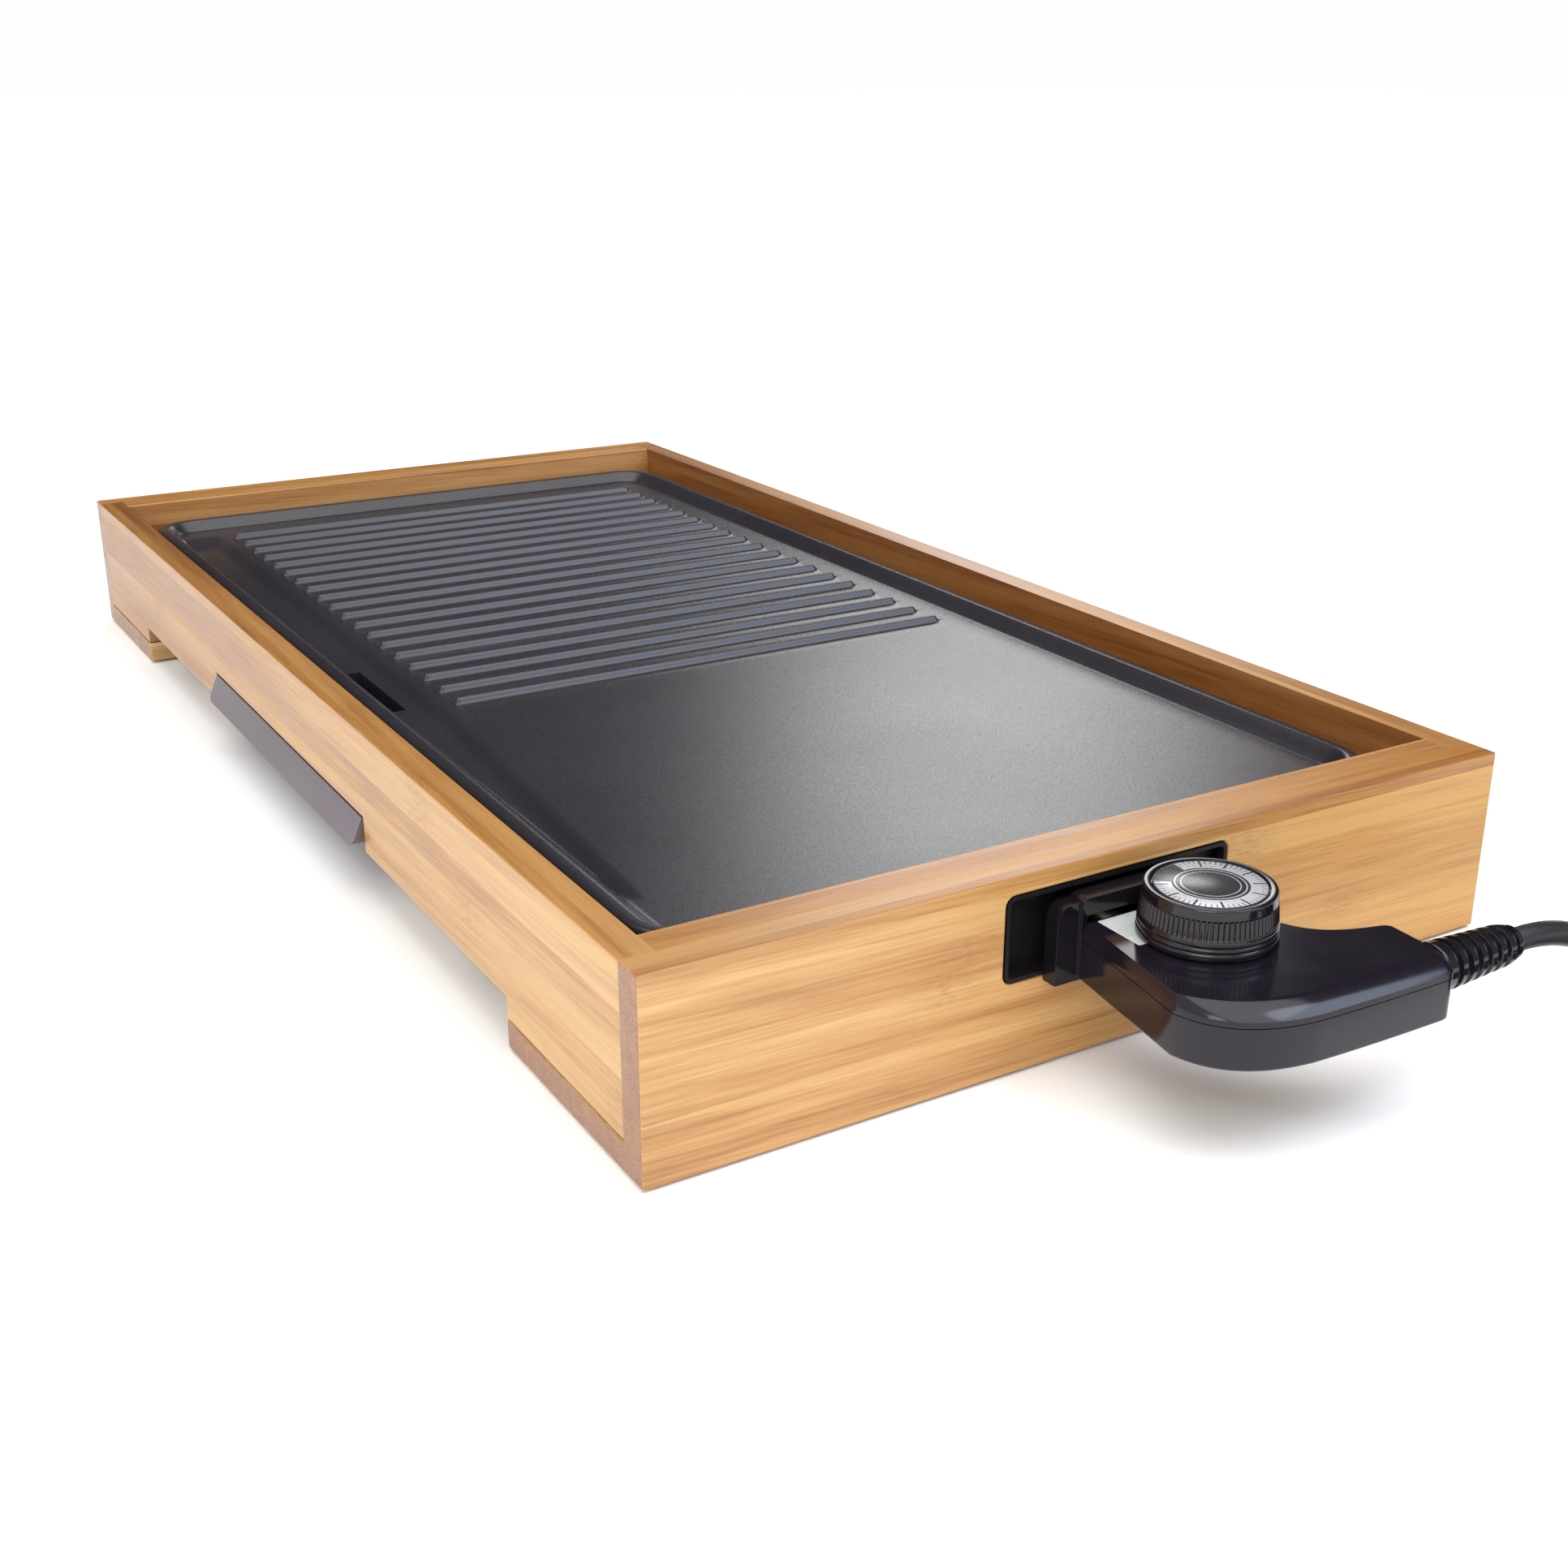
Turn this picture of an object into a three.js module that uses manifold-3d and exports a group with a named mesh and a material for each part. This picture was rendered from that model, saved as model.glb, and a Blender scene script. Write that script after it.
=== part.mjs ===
import * as THREE from 'three';
import { mergeVertices } from 'three/addons/utils/BufferGeometryUtils.js';
import Module from 'manifold-3d';

const wasm = await Module();
wasm.setup();

// Electric griddle: a cast plate in a bamboo frame, with a drip tray at the front (-Y) and a
// plug-in temperature controller at the right end (+X). Millimetres, Z up.

// Frame
const frameLength = 580;
const frameWidth = 296.4;
const woodHeight = 58.6;
const boardThick = 9.9;
const railThick = 10;
const archRise = 15.6;
const footLength = 73;
const footPlankThick = 8.7;
const rubberProud = 1;
const rubberRadius = 7;
const rubberSeat = 2.5;
const rubberInset = 34;
const jointGap = 0.3;

// Griddle plate
const plateClearX = 6.4;
const plateClearY = 8.2;
const plateCornerRadius = 18;
const plateDrop = 8.1;
const rimHeight = 4.3;
const rimBevel = 1.2;
const rimWidth = 4;
const wallRun = 6.3;
const floorThick = 5;
const smoothLength = 204.5;
const ribPitch = 15.57;
const ribWidth = 4.3;
const ribHeight = 2.2;
const ribLeftMargin = 29.5;
const ribBackMargin = 22;
const ribGutterMargin = 4;
const gutterWidth = 21;
const gutterDepth = 2.6;
const gutterLeftMargin = 22;
const gutterRightMargin = 36;
const slotLength = 50;
const slotWidth = 5;
const slotX = 14;
const slotFromEdge = 14;
const bossRadius = 6.5;
const bossX = 170;
const bossFromEdge = 30;

// Heating element, probe and terminals
const elementRadius = 3.5;
const bandHalf = 6.5;
const elementHalfSpread = 62;
const elementEndMargin = 36;
const elementTerminalMargin = 9;
const elementStraight = 20;
const elementSpreadRun = 60;
const terminalSpacing = 25;
const pinRadius = 2.4;
const probeRadius = 3;
const probeReach = 85;
const sleeveWall = 1.3;
const slideFit = 0.25;

// Base pan and the bars that carry the plate
const panThick = 1;
const panMargin = 2;
const panWall = 11;
const panDrop = 11.2;
const barWidth = 18;
const barThick = 2;
const barEar = 15;
const screwRadius = 2;
const screwHead = 4;
const screwHeadHeight = 2.4;
const screwLength = 11;

// Drip tray
const trayX = 1.5;
const trayWidth = 175;
const trayHeight = 9.7;
const trayClear = 2.6;
const trayLean = 4.2;
const trayDepth = 84;
const trayWall = 1.2;
const trayFlange = 6.5;
const notchMargin = 1;
const notchHeadroom = 0.6;
const runnerThick = 1.2;
const runnerPlay = 0.4;

// Inlet
const inletY = -1.3;
const inletWidth = 77.8;
const inletHeight = 25.8;
const inletDrop = 5.4;
const inletRadius = 3;
const linerThick = 1.2;
const panelDepth = 5;
const backplateThick = 2;

// Controller; its heights are above the inlet's lower edge
const collarWidth = 51.8;
const collarLow = -1.1;
const collarHigh = 22;
const collarThick = 5.1;
const hoodHigh = 23.1;
const hoodReach = 6.4;
const noseWidth = 38;
const noseLow = 1.5;
const noseHigh = 20.1;
const noseDepth = 18.5;
const shellWall = 2.2;
const bodyLow = -0.5;
const bodyHigh = 16.6;
const seamHeight = 11.4;
const bodyReach = 72.8;
const bodyEnd = 51.6;
const bodyNear = -25.4;
const bodyFrontBevel = 5;
const knobX = 28;
const knobY = 5.6;
const knobRadius = 18.7;
const knobTopRadius = 17.4;
const knobHeight = 13.8;
const knobLift = 0.4;
const shaftRadius = 3;
const windowLength = 17.5;
const windowWidth = 15;
const windowX = 7.4;
const windowY = -14.7;
const lensThick = 1.6;
const lampRadius = 2.4;
const lampFromWindow = [8, 5];
const postRadius = 4.6;
const upperPostRadius = 3.6;
const shellScrewHead = 3.2;
const shellScrewHeadHeight = 2.1;
const shellScrewRadius = 1.6;
const shellScrewLength = 11;

// Strain relief, cord, coil and plug
const cordRadius = 3.5;
const cordX = 62.5;
const cordHeight = 9.1;
const reliefRadius = 7.2;
const reliefLength = 32;
const reliefCollar = 1.5;
const reliefRings = 7;
const reliefPitch = 4;
const reliefRingWidth = 2;
const reliefGroove = 1.5;
const reliefTaper = 0.2;
const reliefTip = 4.6;
const coilX = 107.3;
const coilY = 160;
const coilInner = 24.4;
const coilOuter = 52.4;
const coilLow = 1.4;
const coilHigh = 16;
const tieThick = 1;
const tieWidth = 11;
const plugRadius = 18.5;
const plugLength = 46;
const plugPinRadius = 2.4;
const plugPinLength = 19;
const plugPinSpacing = 19;

// Levels and faces that follow from them
const woodLow = rubberProud;
const woodHigh = woodLow + woodHeight;
const railLow = woodLow + archRise;
const endX = frameLength / 2;
const endInnerX = endX - boardThick;
const openingX = endInnerX - jointGap - boardThick;
const sideY = frameWidth / 2;
const openingY = sideY - railThick;
const plateX = openingX - plateClearX;
const plateY = openingY - plateClearY;
const rimTop = woodHigh - plateDrop;
const cookTop = rimTop - rimHeight;
const plateLow = cookTop - floorThick;
const probeZ = plateLow - jointGap - probeRadius - slideFit - sleeveWall;
const panLow = plateLow - panDrop;
const trayTop = panLow - trayClear;
const trayBottom = trayTop - trayHeight;
const gutterY = plateY - rimWidth;
const slotY = -(plateY - slotFromEdge);
const barTop = panLow - jointGap;
const inletHigh = woodHigh - inletDrop;
const inletLow = inletHigh - inletHeight;
const knobLow = bodyHigh + knobLift;
const knobTop = knobLow + knobHeight;

const bamboo = { color: 0xd9a563, roughness: 0.5, metalness: 0 };
const castPlate = { color: 0x55534f, roughness: 0.42, metalness: 0.1 };
const glossBlack = { color: 0x17151a, roughness: 0.15, metalness: 0 };
const mattBlack = { color: 0x1b1a1c, roughness: 0.6, metalness: 0 };
const steel = { color: 0xb4b4b2, roughness: 0.35, metalness: 1 };
const darkSteel = { color: 0x5c5b5a, roughness: 0.5, metalness: 0.9 };
const brass = { color: 0xc7a352, roughness: 0.35, metalness: 1 };
const rubber = { color: 0x252326, roughness: 0.8, metalness: 0 };
const silverPrint = { color: 0x8d8b90, roughness: 0.3, metalness: 0.6 };
const milky = { color: 0xe6e6e0, roughness: 0.25, metalness: 0 };
const neon = { color: 0xe07030, roughness: 0.2, metalness: 0 };
const trayGrey = { color: 0x8f8a94, roughness: 0.35, metalness: 0.3 };

// Boolean work on closed geometries

function toSolid(geometry) {
  const bare = geometry.clone();
  bare.deleteAttribute('normal');
  bare.deleteAttribute('uv');
  const merged = mergeVertices(bare, 1e-4);
  const vertProperties = new Float32Array(merged.attributes.position.array);
  const triVerts = new Uint32Array(merged.index.array);
  return new wasm.Manifold(new wasm.Mesh({ numProp: 3, vertProperties, triVerts }));
}

function toGeometry(solid) {
  const mesh = solid.getMesh();
  const geometry = new THREE.BufferGeometry();
  geometry.setAttribute('position', new THREE.BufferAttribute(mesh.vertProperties, 3));
  geometry.setIndex(new THREE.BufferAttribute(mesh.triVerts, 1));
  geometry.computeVertexNormals();
  return geometry;
}

function join(...geometries) {
  return toGeometry(geometries.map(toSolid).reduce((sum, next) => sum.add(next)));
}

function cut(geometry, ...tools) {
  return toGeometry(tools.map(toSolid).reduce((rest, tool) => rest.subtract(tool), toSolid(geometry)));
}

function common(first, second) {
  return toGeometry(toSolid(first).intersect(toSolid(second)));
}

// Plain shapes

function block([x0, x1], [y0, y1], [z0, z1]) {
  const geometry = new THREE.BoxGeometry(x1 - x0, y1 - y0, z1 - z0);
  return geometry.translate((x0 + x1) / 2, (y0 + y1) / 2, (z0 + z1) / 2);
}

function roundedRect(halfX, halfY, radius) {
  const shape = new THREE.Shape();
  shape.moveTo(-halfX + radius, -halfY);
  shape.absarc(halfX - radius, -halfY + radius, radius, -Math.PI / 2, 0);
  shape.absarc(halfX - radius, halfY - radius, radius, 0, Math.PI / 2);
  shape.absarc(-halfX + radius, halfY - radius, radius, Math.PI / 2, Math.PI);
  shape.absarc(-halfX + radius, -halfY + radius, radius, Math.PI, 1.5 * Math.PI);
  shape.closePath();
  return shape;
}

// A flat shape raised from z0 to z1; a slope of the given run and rise can widen both ends inwards.
function slab(shape, z0, z1, slope = { run: 0, rise: 0 }, curveSegments = 6) {
  const options = { depth: z1 - z0 - 2 * slope.rise, curveSegments, bevelEnabled: slope.rise > 0 };
  options.bevelSize = slope.run;
  options.bevelThickness = slope.rise;
  options.bevelOffset = -slope.run;
  options.bevelSegments = 1;
  return new THREE.ExtrudeGeometry(shape, options).translate(0, 0, z0 + slope.rise);
}

function raised(shape, depth) {
  return new THREE.ExtrudeGeometry(shape, { depth, curveSegments: 5, bevelEnabled: false });
}

// A flat shape in the y-z plane carried along +X, or one in the x-z plane carried along +Y.
function acrossX(shape, x0, x1) {
  return raised(shape, x1 - x0).rotateY(Math.PI / 2).rotateX(Math.PI / 2).translate(x0, 0, 0);
}

function acrossY(shape, y0, y1) {
  return raised(shape, y1 - y0).rotateX(Math.PI / 2).translate(0, y1, 0);
}

function polygon(points) {
  return new THREE.Shape(points.map(([u, v]) => new THREE.Vector2(u, v)));
}

// A profile of [radius, height] points turned about the Z axis, put the right way round.
function turned(profile, segments = 32) {
  const area = profile.reduce((sum, [r, h], i) => {
    const [nextR, nextH] = profile[(i + 1) % profile.length];
    return sum + r * nextH - nextR * h;
  }, 0);
  const ordered = area > 0 ? profile : [...profile].reverse();
  const closed = ordered[0][0] > 0 ? [...ordered, ordered[0]] : ordered;
  const points = closed.map(([r, h]) => new THREE.Vector2(r, h));
  return new THREE.LatheGeometry(points, segments).rotateX(Math.PI / 2);
}

function disc(radius, z0, z1, segments = 24) {
  return turned([[0, z0], [radius, z0], [radius, z1], [0, z1]], segments);
}

// A round bar along X or along Z from one point.
function barX(radius, x0, x1, y, z, segments = 16) {
  return disc(radius, x0, x1, segments).rotateY(Math.PI / 2).translate(0, y, z);
}

function barZ(radius, x, y, z0, z1, segments = 16) {
  return disc(radius, z0, z1, segments).translate(x, y, 0);
}

function circle(radius, sides) {
  const corners = Array.from({ length: sides }, (_, i) => 2 * Math.PI * (i + 0.5) / sides);
  return new THREE.Shape(corners.map((a) => new THREE.Vector2(radius * Math.cos(a), radius * Math.sin(a))));
}

function along(path, section, steps) {
  return new THREE.ExtrudeGeometry(section, { steps, extrudePath: path, bevelEnabled: false });
}

// Closed outlines with equal point counts, joined level by level and capped at both ends.
function loft(levels) {
  const count = levels[0].points.length;
  const positions = levels.flatMap(({ points, z }) => points.flatMap((p) => [p.x, p.y, z]));
  const faces = [];
  for (let level = 0; level + 1 < levels.length; level++) {
    for (let i = 0; i < count; i++) {
      const a = level * count + i;
      const b = level * count + (i + 1) % count;
      faces.push(a, b, b + count, a, b + count, a + count);
    }
  }
  const top = (levels.length - 1) * count;
  const last = levels[levels.length - 1].points;
  THREE.ShapeUtils.triangulateShape(levels[0].points, []).forEach(([a, b, c]) => faces.push(a, c, b));
  THREE.ShapeUtils.triangulateShape(last, []).forEach(([a, b, c]) => faces.push(top + a, top + b, top + c));
  const geometry = new THREE.BufferGeometry();
  geometry.setAttribute('position', new THREE.Float32BufferAttribute(positions, 3));
  geometry.setIndex(faces);
  return geometry;
}

// Each point of a counter-clockwise outline moved inwards, square to the outline.
function insetPoints(points, distance) {
  return points.map((p, i) => {
    const before = points[(i + points.length - 1) % points.length];
    const after = points[(i + 1) % points.length];
    const into = p.clone().sub(before).normalize();
    const out = after.clone().sub(p).normalize();
    const normal = new THREE.Vector2(-(into.y + out.y), into.x + out.x).normalize();
    const spread = Math.max(0.4, normal.dot(new THREE.Vector2(-into.y, into.x)));
    return p.clone().addScaledVector(normal, distance / spread);
  });
}

function place(group, name, geometry, finish, position = [0, 0, 0]) {
  const mesh = new THREE.Mesh(geometry, new THREE.MeshStandardMaterial(finish));
  mesh.name = name;
  mesh.position.set(...position);
  group.add(mesh);
  return mesh;
}

const group = new THREE.Group();
const frame = new THREE.Group();
group.add(frame);

// Bamboo frame

function inletHole(clear, x0, x1) {
  const shape = roundedRect(inletWidth / 2 + clear, inletHeight / 2 + clear, inletRadius + clear);
  return acrossX(shape, x0, x1).translate(0, inletY, (inletLow + inletHigh) / 2);
}

function buildFrame() {
  const endSpan = [-sideY, sideY];
  const innerSpan = [-(openingY - jointGap), openingY - jointGap];
  const hole = inletHole(0, openingX - 5, endX + 5);
  const rightEnd = block([endInnerX, endX], endSpan, [woodLow, woodHigh]);
  const innerLow = woodLow + footPlankThick + jointGap;
  const rightInner = block([openingX, endInnerX - jointGap], innerSpan, [innerLow, woodHigh]);
  place(frame, 'end_board_right', cut(rightEnd, hole), bamboo);
  place(frame, 'end_board_left', block([-endX, -endInnerX], endSpan, [woodLow, woodHigh]), bamboo);
  place(frame, 'inner_board_right', cut(rightInner, hole), bamboo);
  const leftInner = block([-(endInnerX - jointGap), -openingX], innerSpan, [innerLow, woodHigh]);
  place(frame, 'inner_board_left', leftInner, bamboo);

  const railSpan = [-(endInnerX - jointGap), endInnerX - jointGap];
  const notch = block(
    [trayX - trayWidth / 2 - notchMargin, trayX + trayWidth / 2 + notchMargin],
    [-sideY - 5, -openingY + 5],
    [railLow - 5, trayBottom + trayHeight + notchHeadroom],
  );
  const frontRail = block(railSpan, [-sideY, -openingY], [railLow, woodHigh]);
  place(frame, 'side_rail_front', cut(frontRail, notch), bamboo);
  place(frame, 'side_rail_back', block(railSpan, [openingY, sideY], [railLow, woodHigh]), bamboo);

  const footOuter = endInnerX - jointGap;
  for (const [side, signX] of [['right', 1], ['left', -1]]) {
    const footX = [footOuter - footLength, footOuter].map((x) => x * signX).sort((a, b) => a - b);
    const rubberX = signX * (endX - rubberInset);
    const plankTop = woodLow + footPlankThick;
    const rubberY = sideY - rubberInset;
    const seatTop = woodLow + rubberSeat + jointGap;
    const seats = [-rubberY, rubberY].map((y) => barZ(
      rubberRadius + jointGap, rubberX, y, woodLow - 1, seatTop));
    place(frame, `foot_plank_${side}`, cut(block(footX, endSpan, [woodLow, plankTop]), ...seats), bamboo);
    for (const [face, signY] of [['front', -1], ['back', 1]]) {
      const blockY = [openingY, sideY].map((y) => y * signY).sort((a, b) => a - b);
      const legBlock = block(footX, blockY, [plankTop + jointGap, railLow - jointGap]);
      place(frame, `leg_block_${face}_${side}`, legBlock, bamboo);
      const foot = disc(rubberRadius, 0, woodLow + rubberSeat, 20);
      place(frame, `rubber_foot_${face}_${side}`, foot, rubber, [rubberX, signY * rubberY, 0]);
    }
  }
}

// Griddle plate

const terminalX = plateX - elementTerminalMargin;
const terminalY = [inletY - terminalSpacing / 2, inletY + terminalSpacing / 2];

function elementPath() {
  const path = new THREE.CurvePath();
  const v = ([x, y]) => new THREE.Vector3(x, inletY + y, probeZ);
  const run = (...ends) => path.add(new THREE.LineCurve3(...ends.map(v)));
  const bend = (...corners) => path.add(new THREE.CubicBezierCurve3(...corners.map(v)));
  const near = terminalSpacing / 2;
  const far = elementHalfSpread;
  const quarterTurn = 0.5523 * far;
  const nearX = terminalX - elementStraight;
  const farX = nearX - elementSpreadRun;
  const midX = (nearX + farX) / 2;
  const turnX = -(plateX - elementEndMargin - far);
  const endTurnX = turnX - far;
  run([terminalX, -near], [nearX, -near]);
  bend([nearX, -near], [midX, -near], [midX, -far], [farX, -far]);
  run([farX, -far], [turnX, -far]);
  bend([turnX, -far], [turnX - quarterTurn, -far], [endTurnX, -quarterTurn], [endTurnX, 0]);
  bend([endTurnX, 0], [endTurnX, quarterTurn], [turnX - quarterTurn, far], [turnX, far]);
  run([turnX, far], [farX, far]);
  bend([farX, far], [midX, far], [midX, near], [nearX, near]);
  run([nearX, near], [terminalX, near]);
  return path;
}

function ribPositions() {
  const first = -plateX + ribLeftMargin + ribWidth / 2;
  const last = plateX - rimWidth - wallRun - smoothLength;
  const count = Math.floor((last - first) / ribPitch + 1e-6) + 1;
  return Array.from({ length: count }, (_, i) => first + i * ribPitch);
}

function buildPlate() {
  const outline = roundedRect(plateX, plateY, plateCornerRadius);
  const body = slab(outline, plateLow, rimTop, { run: rimBevel, rise: rimBevel });
  const recessShape = roundedRect(plateX - rimWidth, plateY - rimWidth, plateCornerRadius - rimWidth);
  const recess = slab(recessShape, cookTop, cookTop + 3 * rimHeight, { run: wallRun, rise: rimHeight });

  const gutterEnds = [-plateX + gutterLeftMargin, plateX - gutterRightMargin];
  const gutterLow = -(gutterY - 1.5);
  const gutterHigh = gutterLow + gutterWidth;
  const gutterMouth = polygon([
    [gutterEnds[0], gutterLow], [gutterEnds[1], gutterLow + 4],
    [gutterEnds[1], gutterLow + 9], [slotX + slotLength, gutterHigh], [gutterEnds[0], gutterHigh],
  ]);
  const gutter = slab(gutterMouth, cookTop - gutterDepth, cookTop + 5, { run: 2.4, rise: 2.4 });
  const slotX0 = slotX - slotLength / 2;
  const slotX1 = slotX + slotLength / 2;
  const slotSpan = [slotY - slotWidth / 2, slotY + slotWidth / 2];
  const slot = block([slotX0, slotX1], slotSpan, [panLow - 10, rimTop]);
  const spoutSpan = [slotSpan[0] - 2, slotSpan[1] + 2];
  const spout = block([slotX0 - 2, slotX1 + 2], spoutSpan, [panLow - 1.3, plateLow + 1]);

  const ribFront = gutterHigh + ribGutterMargin;
  const ribBack = plateY - ribBackMargin;
  const ribs = ribPositions().map((x) => slab(
    roundedRect(ribWidth / 2, (ribBack - ribFront) / 2, ribWidth / 2 - 0.05),
    cookTop - 0.6, cookTop + ribHeight, { run: 0.6, rise: 0.6 }, 3,
  ).translate(x, (ribFront + ribBack) / 2, 0));

  const path = elementPath();
  const band = along(path, roundedRect(bandHalf, bandHalf, 0.5), 64);
  const bandLimit = block([-plateX, plateX], [-plateY, plateY], [probeZ, plateLow + 1.5]);
  const groove = along(path, circle(elementRadius + jointGap, 10), 64);
  const grooveEnd = terminalY.map((y) => barX(elementRadius + jointGap, terminalX - 3, plateX + 5, y, probeZ));

  const bosses = [];
  const bores = [];
  for (const signX of [-1, 1]) {
    for (const signY of [-1, 1]) {
      const x = signX * bossX;
      const y = signY * (plateY - bossFromEdge);
      bosses.push(barZ(bossRadius, x, y, panLow + panThick + jointGap, plateLow + 1, 24));
      bores.push(barZ(screwRadius + slideFit, x, y, panLow - 5, barTop - barThick + screwLength + 0.5, 12));
    }
  }
  const tray = cut(body, recess, gutter);
  const plate = join(tray, spout, common(band, bandLimit), ...bosses, ...ribs);
  place(frame, 'griddle_plate', cut(plate, slot, groove, ...grooveEnd, ...bores), castPlate);

  place(frame, 'heating_element', along(path, circle(elementRadius, 10), 64), darkSteel);
  const pinEnd = endX - panelDepth - 1;
  terminalY.forEach((y, i) => {
    const pin = barX(pinRadius, terminalX + jointGap, pinEnd, y, probeZ);
    place(frame, `terminal_pin_${i + 1}`, pin, steel);
  });
  const sleeveInner = probeRadius + slideFit;
  const sleeveOuter = sleeveInner + sleeveWall;
  const sleeveX0 = endX - probeReach - 12;
  const sleeve = turned([
    [0, sleeveX0], [sleeveOuter, sleeveX0], [sleeveOuter, plateX + 2],
    [sleeveInner, plateX + 2], [sleeveInner, sleeveX0 + 2], [0, sleeveX0 + 2],
  ], 20);
  place(frame, 'probe_sleeve', sleeve.rotateY(Math.PI / 2), steel, [0, inletY, probeZ]);
}

// Base pan under the plate, and the two bars that carry the plate on the side rails

function buildSupports() {
  const panX = openingX - panMargin - plateClearX;
  const panY = openingY - panMargin - plateClearY;
  const outer = slab(roundedRect(panX, panY, plateCornerRadius), panLow, panLow + panWall);
  const hollowShape = roundedRect(panX - panThick, panY - panThick, plateCornerRadius - panThick);
  const hollow = slab(hollowShape, panLow + panThick, panLow + panWall + 5);
  const spoutHole = block(
    [slotX - slotLength / 2 - 3, slotX + slotLength / 2 + 3],
    [slotY - slotWidth / 2 - 3, slotY + slotWidth / 2 + 3], [panLow - 5, panLow + 5]);
  const terminalNotch = block(
    [panX - 8, panX + 5], [inletY - terminalSpacing / 2 - 8, inletY + terminalSpacing / 2 + 8],
    [panLow + 1.5, panLow + panWall + 5]);
  const holes = [];
  for (const signX of [-1, 1]) {
    for (const signY of [-1, 1]) {
      const y = signY * (plateY - bossFromEdge);
      holes.push(barZ(screwRadius + slideFit, signX * bossX, y, panLow - 10, panLow + 5, 12));
    }
  }
  place(frame, 'base_pan', cut(outer, hollow, spoutHole, terminalNotch, ...holes), darkSteel);

  for (const [side, signX] of [['left', -1], ['right', 1]]) {
    const x = signX * bossX;
    const barSpan = openingY - jointGap;
    const barAcross = [x - barWidth / 2, x + barWidth / 2];
    const strip = block(barAcross, [-barSpan, barSpan], [barTop - barThick, barTop]);
    const ears = [-1, 1].map((s) => block(
      barAcross,
      [s * barSpan, s * (barSpan - barThick)].sort((a, b) => a - b), [barTop - barThick, barTop + barEar]));
    place(frame, `support_bar_${side}`, cut(join(strip, ...ears), ...holes), steel);
    for (const [face, signY] of [['front', -1], ['back', 1]]) {
      const head = barTop - barThick - jointGap;
      const screw = turned([
        [0, head - screwHeadHeight], [screwHead, head - screwHeadHeight], [screwHead, head],
        [screwRadius, head], [screwRadius, head + screwLength], [0, head + screwLength],
      ], 16);
      place(frame, `plate_screw_${face}_${side}`, screw, steel, [x, signY * (plateY - bossFromEdge), 0]);
    }
  }
}

// Drip tray and its runners

const panHalf = trayWidth / 2 - trayFlange - notchMargin;
const flangeTop = trayTop - 0.4;

function buildTray() {
  const lipBack = -sideY + 0.9;
  const trayBack = -sideY + trayDepth;
  const outer = block([trayX - panHalf, trayX + panHalf], [lipBack, trayBack], [trayBottom, flangeTop]);
  const inner = block(
    [trayX - panHalf + trayWall, trayX + panHalf - trayWall], [lipBack + trayWall, trayBack - trayWall],
    [trayBottom + trayWall, flangeTop + 5]);
  const flangeFront = lipBack + trayWall;
  const flanges = [-1, 1].map((s) => block(
    [trayX + s * (panHalf - 0.5), trayX + s * (panHalf + trayFlange)].sort((a, b) => a - b),
    [flangeFront, trayBack], [flangeTop - 1, flangeTop]));
  const lip = acrossX(polygon([
    [-sideY, trayTop], [-sideY - trayLean, trayBottom], [lipBack + 1, trayBottom], [lipBack + 1, trayTop],
  ]), trayX - trayWidth / 2, trayX + trayWidth / 2);
  const face = roundedRect(trayWidth / 2, trayHeight / 2 + 2, 3.5);
  const lipLimit = acrossY(face, -sideY - 10, -sideY + 10)
    .translate(trayX, 0, trayBottom + trayHeight / 2 + 2);
  const pan = cut(join(outer, common(lip, lipLimit), ...flanges), inner);
  place(frame, 'drip_tray', pan, trayGrey);

  const runnerY = [-openingY + jointGap, -sideY + trayDepth + 4];
  const railInner = panHalf + trayFlange + runnerPlay;
  const lowTop = flangeTop - 1 - runnerPlay;
  const highLow = flangeTop + runnerPlay;
  const highTop = panLow - jointGap;
  const gripX = panHalf + 1.5;
  [['left', -1], ['right', 1]].forEach(([side, s]) => {
    const section = polygon([
      [gripX, lowTop - runnerThick], [railInner + runnerThick, lowTop - runnerThick],
      [railInner + runnerThick, highTop], [gripX + 2, highTop], [gripX + 2, highLow],
      [railInner, highLow], [railInner, lowTop], [gripX, lowTop],
    ]);
    const runner = acrossY(section, runnerY[0], runnerY[1]);
    place(frame, `tray_runner_${side}`, s > 0 ? runner : runner.rotateZ(Math.PI)
      .translate(0, runnerY[0] + runnerY[1], 0), steel, [trayX, 0, 0]);
  });
}

// Inlet: a black liner in the cut-out, and the plate behind it that holds the pins and the sleeve

function noseHole(clear, x0, x1) {
  const height = (noseHigh - noseLow) / 2 + clear;
  const shape = roundedRect(noseWidth / 2 + clear, height, 2 + clear);
  return acrossX(shape, x0, x1).translate(0, inletY, inletLow + (noseHigh + noseLow) / 2);
}

function buildInlet() {
  const outer = inletHole(-jointGap, openingX + 0.3, endX);
  const pocket = inletHole(-jointGap - linerThick, endX - panelDepth, endX + 5);
  const rear = inletHole(-jointGap - linerThick, openingX - 5, endX - panelDepth - linerThick);
  place(frame, 'inlet_bezel', cut(outer, pocket, rear, noseHole(1.2, openingX, endX)), mattBlack);

  const plateShape = roundedRect(inletWidth / 2 - 4, inletHeight / 2, 3);
  const backX = openingX - jointGap - backplateThick;
  const sheet = acrossX(plateShape, backX, backX + backplateThick)
    .translate(0, inletY, (inletLow + inletHigh) / 2);
  const holes = terminalY.map((y) => barX(pinRadius + 0.3, backX - 5, backX + 5, y, probeZ));
  holes.push(barX(probeRadius + 0.6, backX - 5, backX + 5, inletY, probeZ));
  place(frame, 'inlet_backplate', cut(sheet, ...holes), darkSteel);
}

// Controller, in its own frame: x from the end board's face, y from the plug's centre line

const controller = new THREE.Group();
controller.position.set(endX, inletY, inletLow);
const probeHeight = probeZ - inletLow;
frame.add(controller);

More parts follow.
